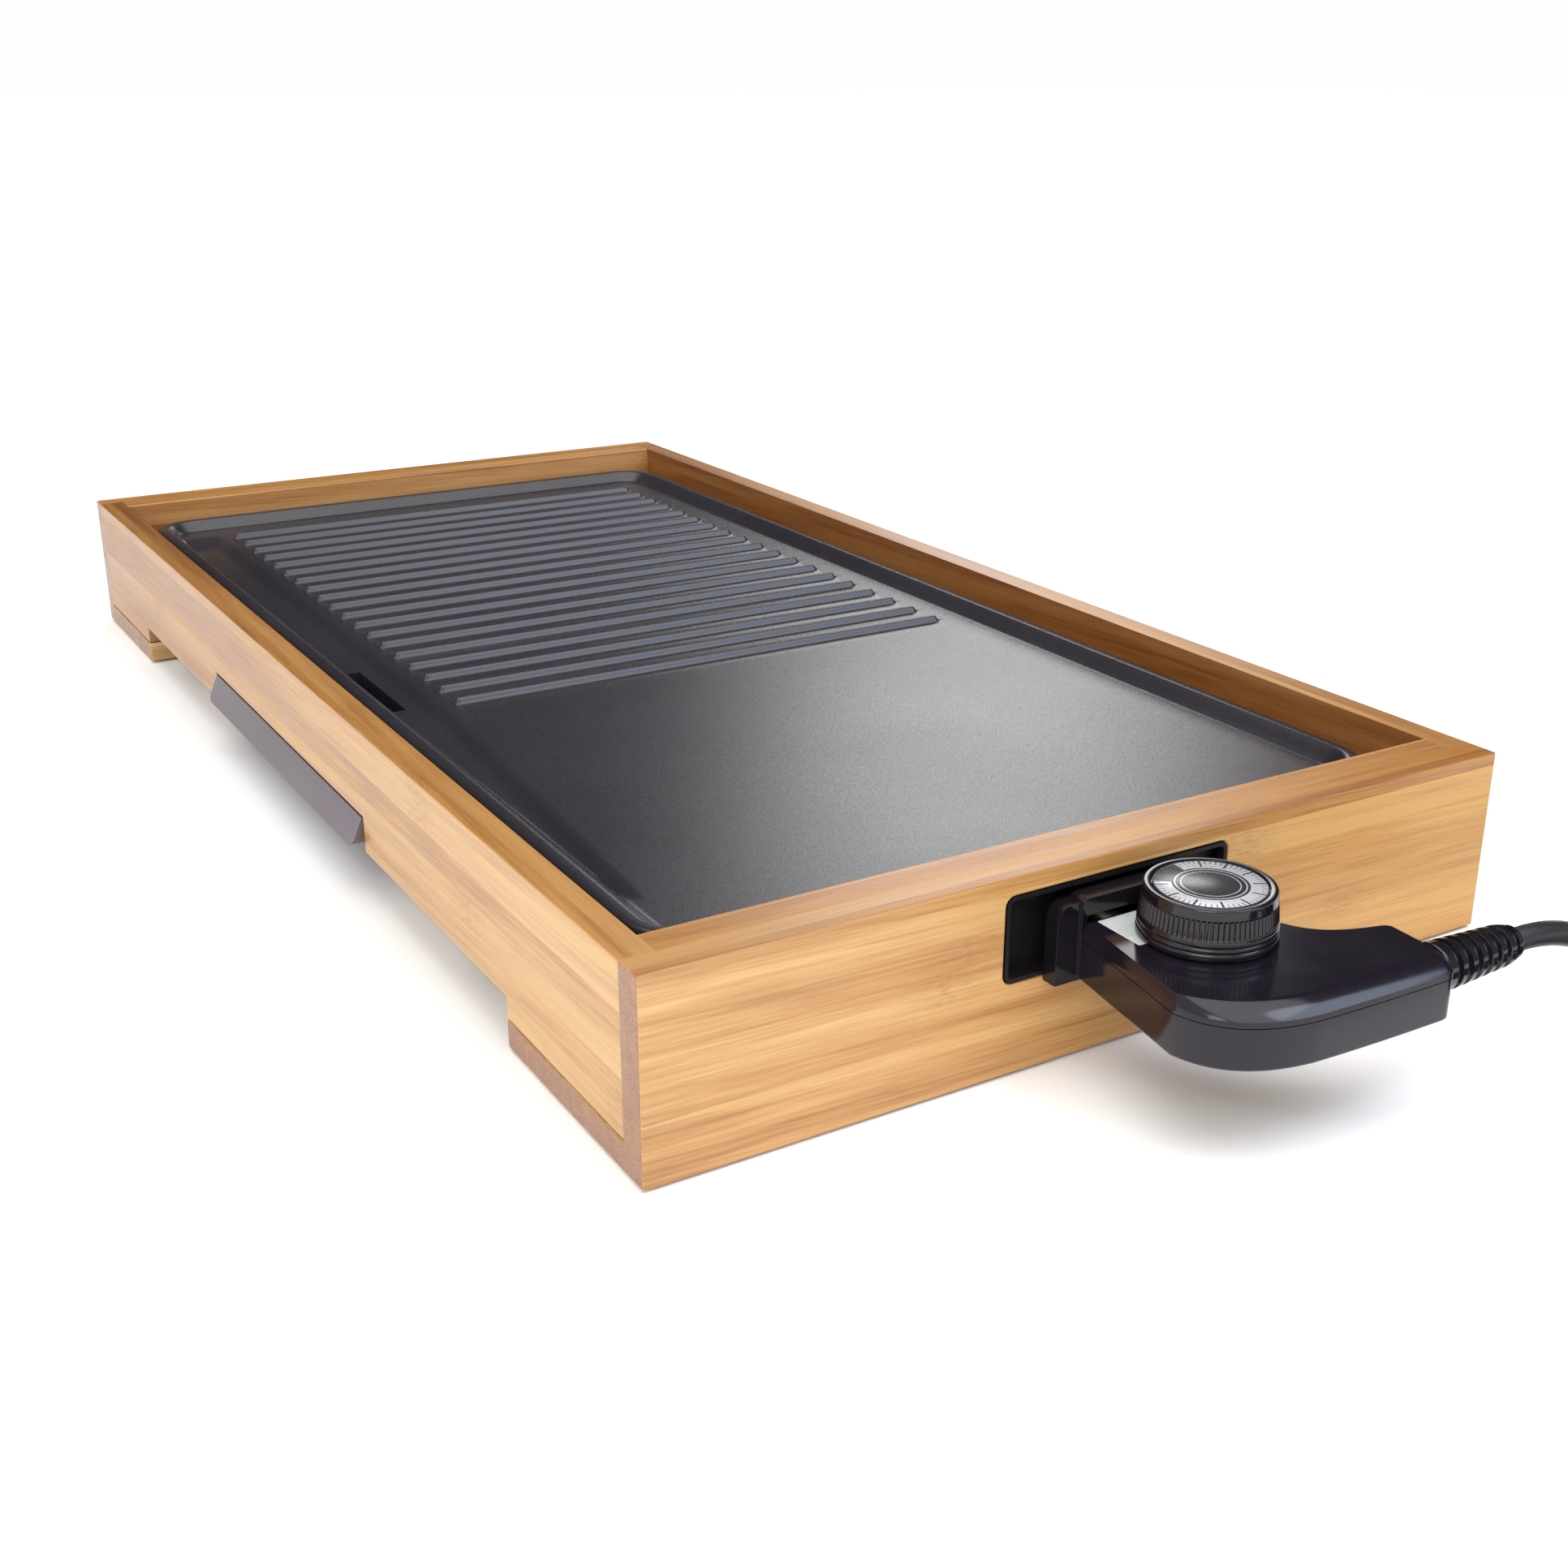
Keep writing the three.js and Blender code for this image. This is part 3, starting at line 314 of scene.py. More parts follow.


# painted light and shade: the right end board paler towards the front and deeper golden towards the back,
# the rails darker towards the left end
endLightFade = (-0.15, 0.15, (1.0, 1.06, 1.3), (0.92, 0.84, 0.56))
railLightFade = (-0.33, 0.2, (0.70, 0.62, 0.56), (1.0, 1.04, 1.15))
woodEnds = bambooFinish("bamboo_end_boards", 1, (0.03, 0.11, 0.004), lightFade=endLightFade)
woodLeft = bambooFinish("bamboo_left_end", 1, (0.41, 0.35, 0.21))
woodInner = bambooFinish("bamboo_inner_boards", 1, (0.77, 0.02, 0.09))
woodRails = bambooFinish("bamboo_rails", 0, (0.2, 0.52, 0.013), lightFade=railLightFade)
woodFeet = bambooFinish("bamboo_feet", 1, (1.3, 0.8, 0.3), (1.0, 1.2, 1.55))
# painted shade: darker copies of the rail and inner board wood, for the faces that look at the plate
railShadeWood = bambooFinish("bamboo_rail_inside_painted_shade", 0, (0.2, 0.52, 0.013), bamboo["railShade"])
endShadeWood = bambooFinish("bamboo_end_inside_painted_shade", 1, (0.77, 0.02, 0.09), bamboo["endShade"])


def paintInsideShade(piece, axis, sign, wood):
    # painted shade: the faces that look at the plate take a darker copy of the wood
    piece.data.materials.append(wood)
    polygons = piece.data.polygons
    facing = np.zeros(len(polygons) * 3)
    polygons.foreach_get("normal", facing)
    index = (facing.reshape(-1, 3)[:, axis] * sign > 0.9).astype(int)
    polygons.foreach_set("material_index", index)


# Board faces that are glued to a neighbour, millimetres: the gap between the boards is closed there
# and the edge stays sharp.
boards = {"innerFace": 280.1, "innerFaceGap": 279.8, "railFace": 138.2, "railFaceGap": 137.9,
          "railHalf": 148.2, "railEnd": 280.1, "woodHigh": 59.6, "railLow": 16.6, "legLow": 10.0,
          "legInner": 206.8, "notch": (-87.0, 90.0, 29.0)}


def buildBoards():
    x = {s: toRow([s * boards["innerFace"], 0, 0])[0] for s in (-1, 1)}
    gap = {s: toRow([s * boards["innerFaceGap"], 0, 0])[0] for s in (-1, 1)}
    y = {s: toRow([0, s * boards["railFace"], 0])[1] for s in (-1, 1)}
    yGap = {s: toRow([0, s * boards["railFaceGap"], 0])[1] for s in (-1, 1)}
    r = bamboo["edgeRadius"]
    for side, s in (("right", 1), ("left", -1)):
        wood = woodEnds if s > 0 else woodLeft
        softCopy(f"endBoard_{side}", f"end_board_{side}", "base", wood, r, plain=[(0, x[s])])
        inner = softCopy(f"innerBoard_{side}", f"inner_board_{side}", "base", woodInner, r,
                         snap=[(0, gap[s], x[s]), (1, yGap[1], y[1]), (1, yGap[-1], y[-1])],
                         plain=[(0, x[s]), (1, y[1]), (1, y[-1])])
        paintInsideShade(inner, 0, -s, endShadeWood)
        softCopy(f"footPlank_{side}", f"foot_plank_{side}", "base", woodFeet, r,
                 snap=[(0, gap[s], x[s])], plain=[(0, x[s])])
    for face, s in (("front", -1), ("back", 1)):
        railBoard(face, s, x)


# A rail with its two leg blocks: outline in x-z carried from the outer face to the inner one.
def railBoard(face, s, seamX):
    end, leg, low, high = boards["railEnd"], boards["legInner"], boards["legLow"], boards["woodHigh"]
    mid = boards["railLow"]
    n0, n1, top = boards["notch"]
    gate = [(n0, mid), (n0, top), (n1, top), (n1, mid)] if face == "front" else []
    outline = np.array([(-end, low), (-leg, low), (-leg, mid), *gate, (leg, mid), (leg, low), (end, low),
                        (end, high), (-end, high)], float)
    ys = [s * boards["railFace"], s * boards["railHalf"]]
    n = len(outline)
    points = np.array([[(px, py, pz) for px, pz in outline] for py in ys])
    faces = [*gridQuads(2, n, False, True).tolist(), list(range(n)), list(range(n, 2 * n))]
    rail = meshPiece(f"sideRail_{face}", toRow(points), faces, "base", woodRails)
    innerY = toRow([0, ys[0], 0])[1]
    b = bmesh.new()
    b.from_mesh(rail.data)
    weight = b.edges.layers.float.new("bevel_weight_edge")
    for edge in b.edges:
        atEnd = any(abs(v.co.x - seamX[k]) < 2e-5 for k in (-1, 1) for v in edge.verts)
        flat = all(abs(edge.verts[0].co.x - v.co.x) < 2e-5 for v in edge.verts)
        inside = all(abs(v.co.y - innerY) < 2e-5 and abs(v.co.z - high / 1000) < 2e-5 for v in edge.verts)
        edge[weight] = float(edge.calc_face_angle(0) > radians(30) and not (atEnd and flat) and not inside)
    b.to_mesh(rail.data)
    b.free()
    paintInsideShade(rail, 1, -s, railShadeWood)
    bevel = rail.modifiers.new("rounded edges", "BEVEL")
    bevel.limit_method, bevel.width, bevel.segments = "WEIGHT", bamboo["edgeRadius"] / 1000, 3
    bevel.harden_normals = True
    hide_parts(f"side_rail_{face}", f"leg_block_{face}_left", f"leg_block_{face}_right")


buildBoards()
print("bamboo frame built")


# griddle plate

plate = {"halfX": 263.5, "halfY": 130.0, "corner": 18.0, "rimTop": 51.5, "cookTop": 47.2,
         "rimWidth": 4.0, "wallRun": 6.3, "cut": 44.0, "ribPitch": 15.57, "ribFirst": -231.85,
         "ribCount": 19, "ribHalf": 2.15, "ribHeight": 2.2, "ribEnds": (-99.5, 108.0),
         "gutterX": (-241.5, 227.5), "gutterY": (-124.5, -103.5), "gutterTaper": (64.0, -115.5, 4.0),
         "gutterDepth": 2.6, "slotX": (-11.0, 39.0), "slotInset": (11.5, 16.5)}


def ease(t):
    t = np.clip(t, 0, 1)
    return t * t * (3 - 2 * t)


def plateHeight(x, y, inset):
    # wall: s-shaped drop from the rim to the cooking level between insets rimWidth and rimWidth + wallRun
    t = np.clip((inset - plate["rimWidth"]) / plate["wallRun"], 0, 1)
    z = plate["rimTop"] - (plate["rimTop"] - plate["cookTop"]) * (0.3 * t + 0.7 * ease(t))
    # gutter: a trough between two edges that close in towards the right
    x0, x1 = plate["gutterX"]
    low, high = plate["gutterY"]
    bendX, highEnd, lowRise = plate["gutterTaper"]
    lowEdge = low + lowRise * (x - x0) / (x1 - x0)
    highEdge = high + (highEnd - high) * np.clip((x - bendX) / (x1 - bendX), 0, 1)
    into = np.minimum.reduce([(y - lowEdge) / 3.2, (highEdge - y) / 5.5, (x - x0) / 16, (x1 - x) / 14])
    depth = ease(into)
    z = z * (1 - depth) + (plate["cookTop"] - plate["gutterDepth"]) * depth
    # ribs: round-topped ridges with round ends, r is the distance from a rib's axis over its half width
    k = np.clip(np.round((x - plate["ribFirst"]) / plate["ribPitch"]), 0, plate["ribCount"] - 1)
    dx = x - (plate["ribFirst"] + k * plate["ribPitch"])
    y0, y1 = plate["ribEnds"]
    dy = np.maximum(np.maximum(y0 + plate["ribHalf"] - y, y - y1 + plate["ribHalf"]), 0)
    r = np.hypot(dx, dy) / plate["ribHalf"]
    return z + plate["ribHeight"] * (1 - ease((r - 0.18) / 0.98))


def buildPlate(material):
    # outer ring: point = A + D (corner - inset), with A on the inner rectangle and D outwards; then a
    # grid of x and y lines inside it, denser at the ribs and at the gutter
    p = plate
    innerX, innerY = p["halfX"] - p["corner"], p["halfY"] - p["corner"]
    ribs = p["ribFirst"] + p["ribPitch"] * np.arange(p["ribCount"])
    half = np.array([0.4, 0.75, 1.1, 1.45, 1.8, 2.15, 2.5])
    across = np.concatenate([-half[::-1], [0], half])
    xs = np.concatenate([(ribs[:, None] + across).ravel(), ribs[:-1] + p["ribPitch"] / 2, [-innerX, innerX],
                         np.linspace(-241.5, -236.5, 5), np.linspace(56, 240, 24), p["slotX"],
                         np.linspace(213.5, 227.5, 8)])
    xs = np.unique(np.round(xs[np.abs(xs) <= innerX], 2))
    y0, y1 = p["ribEnds"]
    ys = np.concatenate([np.linspace(-innerY, -99, 16), y0 + p["ribHalf"] + across,
                         y1 - p["ribHalf"] + across, np.linspace(-92, 100, 12), [innerY]])
    ys = np.unique(np.round(ys[np.abs(ys) <= innerY], 2))
    turn = np.linspace(0, pi / 2, 11)[1:-1]

    def corner(sx, sy, start):
        a = start + turn
        return np.tile([sx * innerX, sy * innerY], (len(turn), 1)), np.stack([np.cos(a), np.sin(a)], 1)

    def side(values, fixed, swap, out):
        flat = np.stack([values, np.full_like(values, fixed)], 1)
        return flat[:, ::-1] if swap else flat, np.tile(out, (len(values), 1))

    loops = [side(xs, -innerY, False, (0.0, -1.0)), corner(1, -1, -pi / 2),
             side(ys, innerX, True, (1.0, 0.0)), corner(1, 1, 0),
             side(xs[::-1], innerY, False, (0.0, 1.0)), corner(-1, 1, pi / 2),
             side(ys[::-1], -innerX, True, (-1.0, 0.0)), corner(-1, -1, pi)]
    anchor, out = (np.concatenate([pair[k] for pair in loops]) for k in (0, 1))
    edge = np.array([(0, p["cut"]), (0, 50.0), (0.14, 50.6), (0.45, 51.08), (0.9, 51.38), (1.5, 51.5)])
    rows = np.concatenate([[2.4, 3.3, 4], np.arange(4.5, 11, 0.6), np.arange(11.5, 17, 1), [17.2, 18]])
    insets = np.concatenate([edge[:, 0], rows])
    flat = anchor + out * (p["corner"] - insets)[:, None, None]
    z = plateHeight(flat[..., 0], flat[..., 1], insets[:, None])
    z[: len(edge)] = edge[:, 1][:, None]
    n = len(anchor)
    ring = np.concatenate([flat, z[..., None]], -1).reshape(-1, 3)
    quads = gridQuads(len(insets), n, False, True)
    # the slot: quads between its two insets and x lines are left out, and its walls go down to the cut
    rowA, rowB = (int(np.argmin(abs(insets - v))) for v in p["slotInset"])
    colA, colB = (int(np.argmin(abs(xs - v))) for v in p["slotX"])
    r, c = quads[:, 0] // n, quads[:, 0] % n
    quads = quads[~((r >= rowA) & (r < rowB) & (c >= colA) & (c < colB))]
    hole = np.array([rowA * n + k for k in range(colA, colB)] + [k * n + colB for k in range(rowA, rowB)]
                    + [rowB * n + k for k in range(colB, colA, -1)]
                    + [k * n + colA for k in range(rowB, rowA, -1)])
    below = ring[hole].copy()
    below[:, 2] = p["cut"]
    gx, gy = np.meshgrid(xs, ys, indexing="ij")
    grid = np.stack([gx, gy, plateHeight(gx, gy, np.full_like(gx, p["corner"]))], -1).reshape(-1, 3)
    points = np.concatenate([ring, below, grid])
    lowHole = len(ring) + np.arange(len(hole))
    walls = np.stack([hole, np.roll(hole, -1), np.roll(lowHole, -1), lowHole], 1)
    inner = gridQuads(len(xs), len(ys)) + len(ring) + len(below)
    faces = np.concatenate([quads, walls, inner])
    top = meshPiece("plateTop", toRow(points), faces, "base", material, 50,
                    fills=[[np.arange(n), lowHole]], merge=1e-5)
    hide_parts("griddle_plate")
    softCopy("plateUnderside", "griddle_plate", "base", material, 0,
             cutAbove=p["cut"] / 1000 - 2e-5)


def coatingFinish():
    # non-stick coating: near black, satin, with fine grain in its gloss and a slightly uneven surface
    r = Recipe("plate_coating")
    grain = r.noise(r.object, 2600, 2, 0.6)
    cloud = r.noise(r.object, 14, 3, 0.5)
    speck = r.range(r.cells(r.object, 1500), 0.0, 0.16, 1, 0)
    colour = r.mix(r.range(cloud, 0.3, 0.7, 0, 1), (0.017, 0.015, 0.019), (0.023, 0.021, 0.026))
    colour = r.mix(r.math("MULTIPLY", speck, 0.35), colour, (0.10, 0.098, 0.105))
    rough = r.math("ADD", r.range(grain, 0.3, 0.7, 0.235, 0.30), r.range(cloud, 0.3, 0.7, -0.012, 0.012))
    normal = r.bump(grain, 0.00004, 0.7)
    return r.finish(colour=colour, roughness=rough, normal=normal, specular=0.5)


buildPlate(coatingFinish())
print("griddle plate built")


# finishes of the metal, plastic and rubber pieces

def metalFinish(name, colour, rough):
    # plain metal: long fine lines in roughness and height, and a cloudy tone
    r = Recipe(name)
    lines = r.noise(r.stretch((30, 1400, 1400)), 1, 2, 0.6)
    cloud = r.noise(r.object, 40, 3)
    darker = tuple(c * 0.85 for c in colour)
    tone = r.mix(r.range(cloud, 0.3, 0.7, 0, 1), colour, darker)
    level = r.math("ADD", r.range(lines, 0.3, 0.7, rough - 0.06, rough + 0.06),
                   r.range(cloud, 0.3, 0.7, -0.04, 0.04))
    return r.finish(colour=tone, roughness=level, metal=1.0, normal=r.bump(lines, 0.00003, 0.2))


def mouldedFinish(name, colour, rough, grain=900.0, height=0.00002, specular=0.5):
    # moulded plastic or rubber: fine grain in the height, faint wear in the gloss
    r = Recipe(name)
    fine = r.noise(r.object, grain, 2, 0.6)
    wear = r.noise(r.object, 55, 4, 0.6)
    paler = tuple(min(1.0, c * 1.35 + 0.002) for c in colour)
    tone = r.mix(r.range(wear, 0.45, 0.75, 0, 0.6), colour, paler)
    level = r.range(wear, 0.3, 0.75, rough * 0.85, rough * 1.2)
    return r.finish(colour=tone, roughness=level, normal=r.bump(fine, height, 0.6), specular=specular)


glossBlack = mouldedFinish("gloss_black", (0.0075, 0.006, 0.0085), 0.11, 300, 0.000005)
shellBlack = mouldedFinish("shell_black", (0.0085, 0.0062, 0.0110), 0.13, 300, 0.000005, 0.42)
mattBlack = mouldedFinish("matt_black", (0.017, 0.015, 0.018), 0.42, 1500, 0.00003)
inletBlack = mouldedFinish("inlet_black", (0.005, 0.004, 0.005), 0.5, 1500, 0.00003, 0.25)
cordRubber = mouldedFinish("cord_rubber", (0.016, 0.015, 0.017), 0.45, 1200, 0.00002)
footRubber = mouldedFinish("foot_rubber", (0.035, 0.034, 0.034), 0.75, 900, 0.00006)
zincSteel = metalFinish("zinc_steel", (0.50, 0.50, 0.49), 0.38)
heaterSteel = metalFinish("heater_steel", (0.33, 0.32, 0.31), 0.45)
contactBrass = metalFinish("contact_brass", (0.62, 0.45, 0.18), 0.28)


def enamelFinish():
    # the tray's grey satin paint with fine metallic grain
    r = Recipe("tray_enamel")
    grain = r.noise(r.object, 2200, 2, 0.6)
    cloud = r.noise(r.stretch((6, 60, 60)), 1, 3)
    colour = r.mix(r.range(cloud, 0.3, 0.7, 0, 1), (0.155, 0.130, 0.150), (0.195, 0.168, 0.190))
    return r.finish(colour=colour, roughness=r.range(grain, 0.3, 0.7, 0.36, 0.46), metal=0.35,
                    normal=r.bump(grain, 0.00003, 0.5))


softCopy("dripTray", "drip_tray", "tray", enamelFinish(), 0.45, 3, rings=True)

plainNodes = {"base_pan": zincSteel, "heating_element": heaterSteel, "inlet_backplate": zincSteel,
              "inlet_bezel": inletBlack, "plate_screw_front_left": zincSteel,
              "plate_screw_front_right": zincSteel, "plate_screw_back_left": zincSteel,
              "plate_screw_back_right": zincSteel, "probe_sleeve": heaterSteel,
              "support_bar_left": zincSteel, "support_bar_right": zincSteel,
              "terminal_pin_1": heaterSteel, "terminal_pin_2": heaterSteel,
              "tray_runner_left": zincSteel, "tray_runner_right": zincSteel, "probe_rod": heaterSteel,
              "thermostat_switch": mattBlack, "shell_screw_1": zincSteel, "shell_screw_2": zincSteel,
              "socket_contact_1": contactBrass, "socket_contact_2": contactBrass, "knob_shaft": zincSteel}
rounded = {"inlet_bezel": ("base", "matt_black", 0.5), "base_pan": ("base", "zinc_steel", 0.3),
           "probe_rod": ("controller", "heater_steel", 0.0), "probe_sleeve": ("base", "heater_steel", 0.2),
           "terminal_pin_1": ("base", "heater_steel", 0.3), "terminal_pin_2": ("base", "heater_steel", 0.3),
           "support_bar_left": ("base", "zinc_steel", 0.3),
           "support_bar_right": ("base", "zinc_steel", 0.3),
           "tray_runner_left": ("base", "zinc_steel", 0.2),
           "tray_runner_right": ("base", "zinc_steel", 0.2),
           "plate_screw_front_left": ("base", "zinc_steel", 0.4),
           "plate_screw_back_left": ("base", "zinc_steel", 0.4),
           "plate_screw_front_right": ("base", "zinc_steel", 0.4),
           "plate_screw_back_right": ("base", "zinc_steel", 0.4),
           "shell_screw_1": ("controller", "zinc_steel", 0.3),
           "shell_screw_2": ("controller", "zinc_steel", 0.3)}


def camelName(node):
    words = node.split("_")
    return words[0] + "".join(w.capitalize() for w in words[1:])


for node, finish in plainNodes.items():
    if node in rounded:
        rides, slotName, width = rounded[node]
        softCopy(camelName(node), node, rides, finish, width, 2, rings=True)
    else:
        nodes[node].data.materials.clear()
        nodes[node].data.materials.append(finish)
for end in ("front_left", "front_right", "back_left", "back_right"):
    foot = "rubber_foot_" + end
    softCopy(camelName(foot), foot, "base", footRubber, 0.8, 3)
print("metal and rubber pieces finished")


# controller: lengths are from plugAt, x outwards and y along the frame's end

body = {"start": 6.7, "reach": 72.8, "end": 51.6, "near": -25.4, "low": -0.5, "seam": 11.4, "gap": 0.25,
        "high": 16.6, "bevel": 5.0, "bevelRise": 3.3, "wall": 2.2, "window": (7.4, -14.7, 17.5, 15.0),
        "knobAt": (28.0, 5.6), "shaftHole": 3.4, "seatRadius": 3.6,
        "screws": ((47.0, -14.0), (58.0, 36.0)), "steps": 22}


def bodyOutline(bevel=0.0):
    # straight sides joined by quadratic and cubic Bezier arcs, counter-clockwise from above
    b = body
    front, t = b["reach"] - bevel, np.linspace(0, 1, b["steps"])[1:, None]

    def line(p, q, count=4):
        u = np.linspace(0, 1, count + 1)[1:, None]
        return np.array(p) * (1 - u) + np.array(q) * u

    def arc(p, c, q):
        return np.array(p) * (1 - t) ** 2 + 2 * np.array(c) * t * (1 - t) + np.array(q) * t ** 2

    near, end = b["near"], b["end"]
    s0, s1, s2 = (b["start"], -18.5), (50.0, near), (front - 1.2, 3.0)
    s3, s4, s5 = (front, end - 4.5), (front - 4, end - 0.6), (50.5, end)
    s6, s7, s8 = (47.2, end - 3.6), (32.5, 27.5), (b["start"], 18.5)
    cubic = (np.array(s6) * (1 - t) ** 3 + 3 * np.array((44.5, 38.0)) * t * (1 - t) ** 2
             + 3 * np.array((42.0, 31.0)) * t ** 2 * (1 - t) + np.array(s7) * t ** 3)
    return np.concatenate([[s0], line(s0, s1, 8), arc(s1, (front - 4, near + 3.4 + 0.8 * bevel), s2),
                           arc(s2, (front, 22.0), s3), arc(s3, (front, end - 1), s4), line(s4, s5),
                           arc(s5, (48.0, end), s6), cubic, line(s7, s8), line(s8, s0, 6)[:-1]])


def insetLoop(loop, distance):
    # each point moved square to the loop, inwards
    before, after = np.roll(loop, 1, 0), np.roll(loop, -1, 0)
    into, out = loop - before, after - loop
    into = into / np.linalg.norm(into, axis=1, keepdims=True)
    out = out / np.linalg.norm(out, axis=1, keepdims=True)
    normal = np.stack([-(into + out)[:, 1], (into + out)[:, 0]], 1)
    normal = normal / np.linalg.norm(normal, axis=1, keepdims=True)
    spread = np.maximum(0.4, normal[:, 0] * -into[:, 1] + normal[:, 1] * into[:, 0])
    return loop + normal * (distance / spread)[:, None]


def atLevel(loop, z):
    return np.concatenate([loop, np.full((len(loop), 1), z)], 1)


def roundLoop(centre, radius, count=28):
    a = np.arange(count) * 2 * pi / count
    return np.stack([centre[0] + radius * np.cos(a), centre[1] + radius * np.sin(a)], 1)


def rectLoop(x0, y0, lengthX, lengthY, radius=0.8, count=4):
    # a rectangle with rounded corners
    a = np.concatenate([k * pi / 2 + pi + np.linspace(0, pi / 2, count) for k in range(4)])
    cx = np.repeat([x0 + radius, x0 + lengthX - radius, x0 + lengthX - radius, x0 + radius], count)
    cy = np.repeat([y0 + radius, y0 + radius, y0 + lengthY - radius, y0 + lengthY - radius], count)
    return np.stack([cx + radius * np.cos(a), cy + radius * np.sin(a)], 1)


def hollowShell(name, outer, inner, holes, capZ, innerZ, bodyName, material):
    # outer rows from the open rim to the cap, inner rows back to the rim; each hole's loop joins both caps
    n = len(outer[0])
    rows = np.concatenate([*outer, *inner])
    k = len(outer) + len(inner)
    quads = gridQuads(k, n, True, True)
    quads = quads[quads[:, 0] // n != len(outer) - 1]
    points, faces = [rows], [quads]
    topLoops = [np.arange(n) + (len(outer) - 1) * n]
    lowLoops = [np.arange(n) + len(outer) * n]
    count = len(rows)
    for loop in holes:
        m = len(loop)
        levels = [atLevel(loop, capZ), atLevel(loop, innerZ)]
        points += levels
        faces.append(gridQuads(2, m, False, True) + count)
        topLoops.append(count + np.arange(m))
        lowLoops.append(count + m + np.arange(m))
        count += 2 * m
    return meshPiece(name, toRow(np.concatenate(points), plugAt), np.concatenate(faces), bodyName,
                     material, 30, fills=[topLoops, lowLoops])


def buildShells():
    b = body
    side = bodyOutline()
    low = b["seam"] + b["gap"]
    rise = np.linspace(0, 1, 9)
    outer = [atLevel(side, low), atLevel(side, low + 0.3)]
    # the upper edge slopes in, wide along the front and narrow elsewhere: two parts straight to one
    # part quarter turn, with a flat ring at the end
    for u in rise:
        pull = (2 * u + 1 - cos(u * pi / 2)) / 3
        z = b["high"] - b["bevelRise"] * (1 - (2 * u + sin(u * pi / 2)) / 3)
        outer.append(atLevel(insetLoop(bodyOutline(b["bevel"] * pull), 0.9 * pull), z))
    outer.append(atLevel(insetLoop(bodyOutline(b["bevel"]), 1.2), b["high"]))
    shrunk = insetLoop(bodyOutline(b["bevel"]), b["wall"])
    inner = [atLevel(shrunk, b["high"] - b["wall"]), atLevel(insetLoop(side, b["wall"]), low)]
    holes = [rectLoop(*b["window"]), roundLoop(b["knobAt"], b["shaftHole"])]
    upper = hollowShell("upperShell", outer, inner, holes, b["high"], b["high"] - b["wall"], "controller",
                        shellBlack)
    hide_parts("controller_upper_shell")
    outer = [atLevel(side, b["seam"]), atLevel(side, b["seam"] - 0.3)]
    for u in rise:
        pull = 1 - cos(u * pi / 2)
        outer.append(atLevel(insetLoop(side, 1.1 * pull), b["low"] + 1.1 * (1 - sin(u * pi / 2))))
    floor = b["low"] + b["wall"]
    inner = [atLevel(insetLoop(side, b["wall"]), floor), atLevel(insetLoop(side, b["wall"]), b["seam"])]
    seats = [roundLoop(at, b["seatRadius"]) for at in b["screws"]]
    lower = hollowShell("lowerShell", outer, inner, seats, b["low"], floor, "controller",
                        shellBlack)
    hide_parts("controller_lower_shell")


buildShells()
softCopy("plugNose", "plug_nose", "controller", glossBlack, 0.9, 3)


def milkyFinish():
    # milky window: pale plastic that lets a little light in, with a faint cloud
    r = Recipe("milky_lens")
    cloud = r.noise(r.object, 160, 2)
    colour = r.mix(r.range(cloud, 0.3, 0.7, 0, 1), (0.58, 0.565, 0.54), (0.64, 0.63, 0.60))
    return r.finish(colour=colour, roughness=r.range(cloud, 0.3, 0.7, 0.2, 0.3), subsurface=0.15)


softCopy("indicatorLens", "indicator_lens", "controller", milkyFinish(), 0.35, 2)
lampGlass = Recipe("lamp_glass")
lampTone = lampGlass.noise(lampGlass.object, 300, 2)
lampFinish = lampGlass.finish(colour=lampGlass.mix(lampTone, (0.75, 0.22, 0.05), (0.85, 0.34, 0.10)),
                              roughness=0.12)
softCopy("indicatorLamp", "indicator_lamp", "controller", lampFinish, 0.2, 2)
print("controller built")


# knob: heights are above its lower edge

knob = {"at": (28.0, 5.6), "low": 17.0, "foot": 18.7, "top": 17.4, "height": 13.8, "flutes": 80,
        "fluteDepth": 0.42, "fluteZ": (5.4, 11.0), "grooves": (2.0, 3.5), "recess": 0.8, "dial": 15.1,
        "band": (10.2, 14.6)}


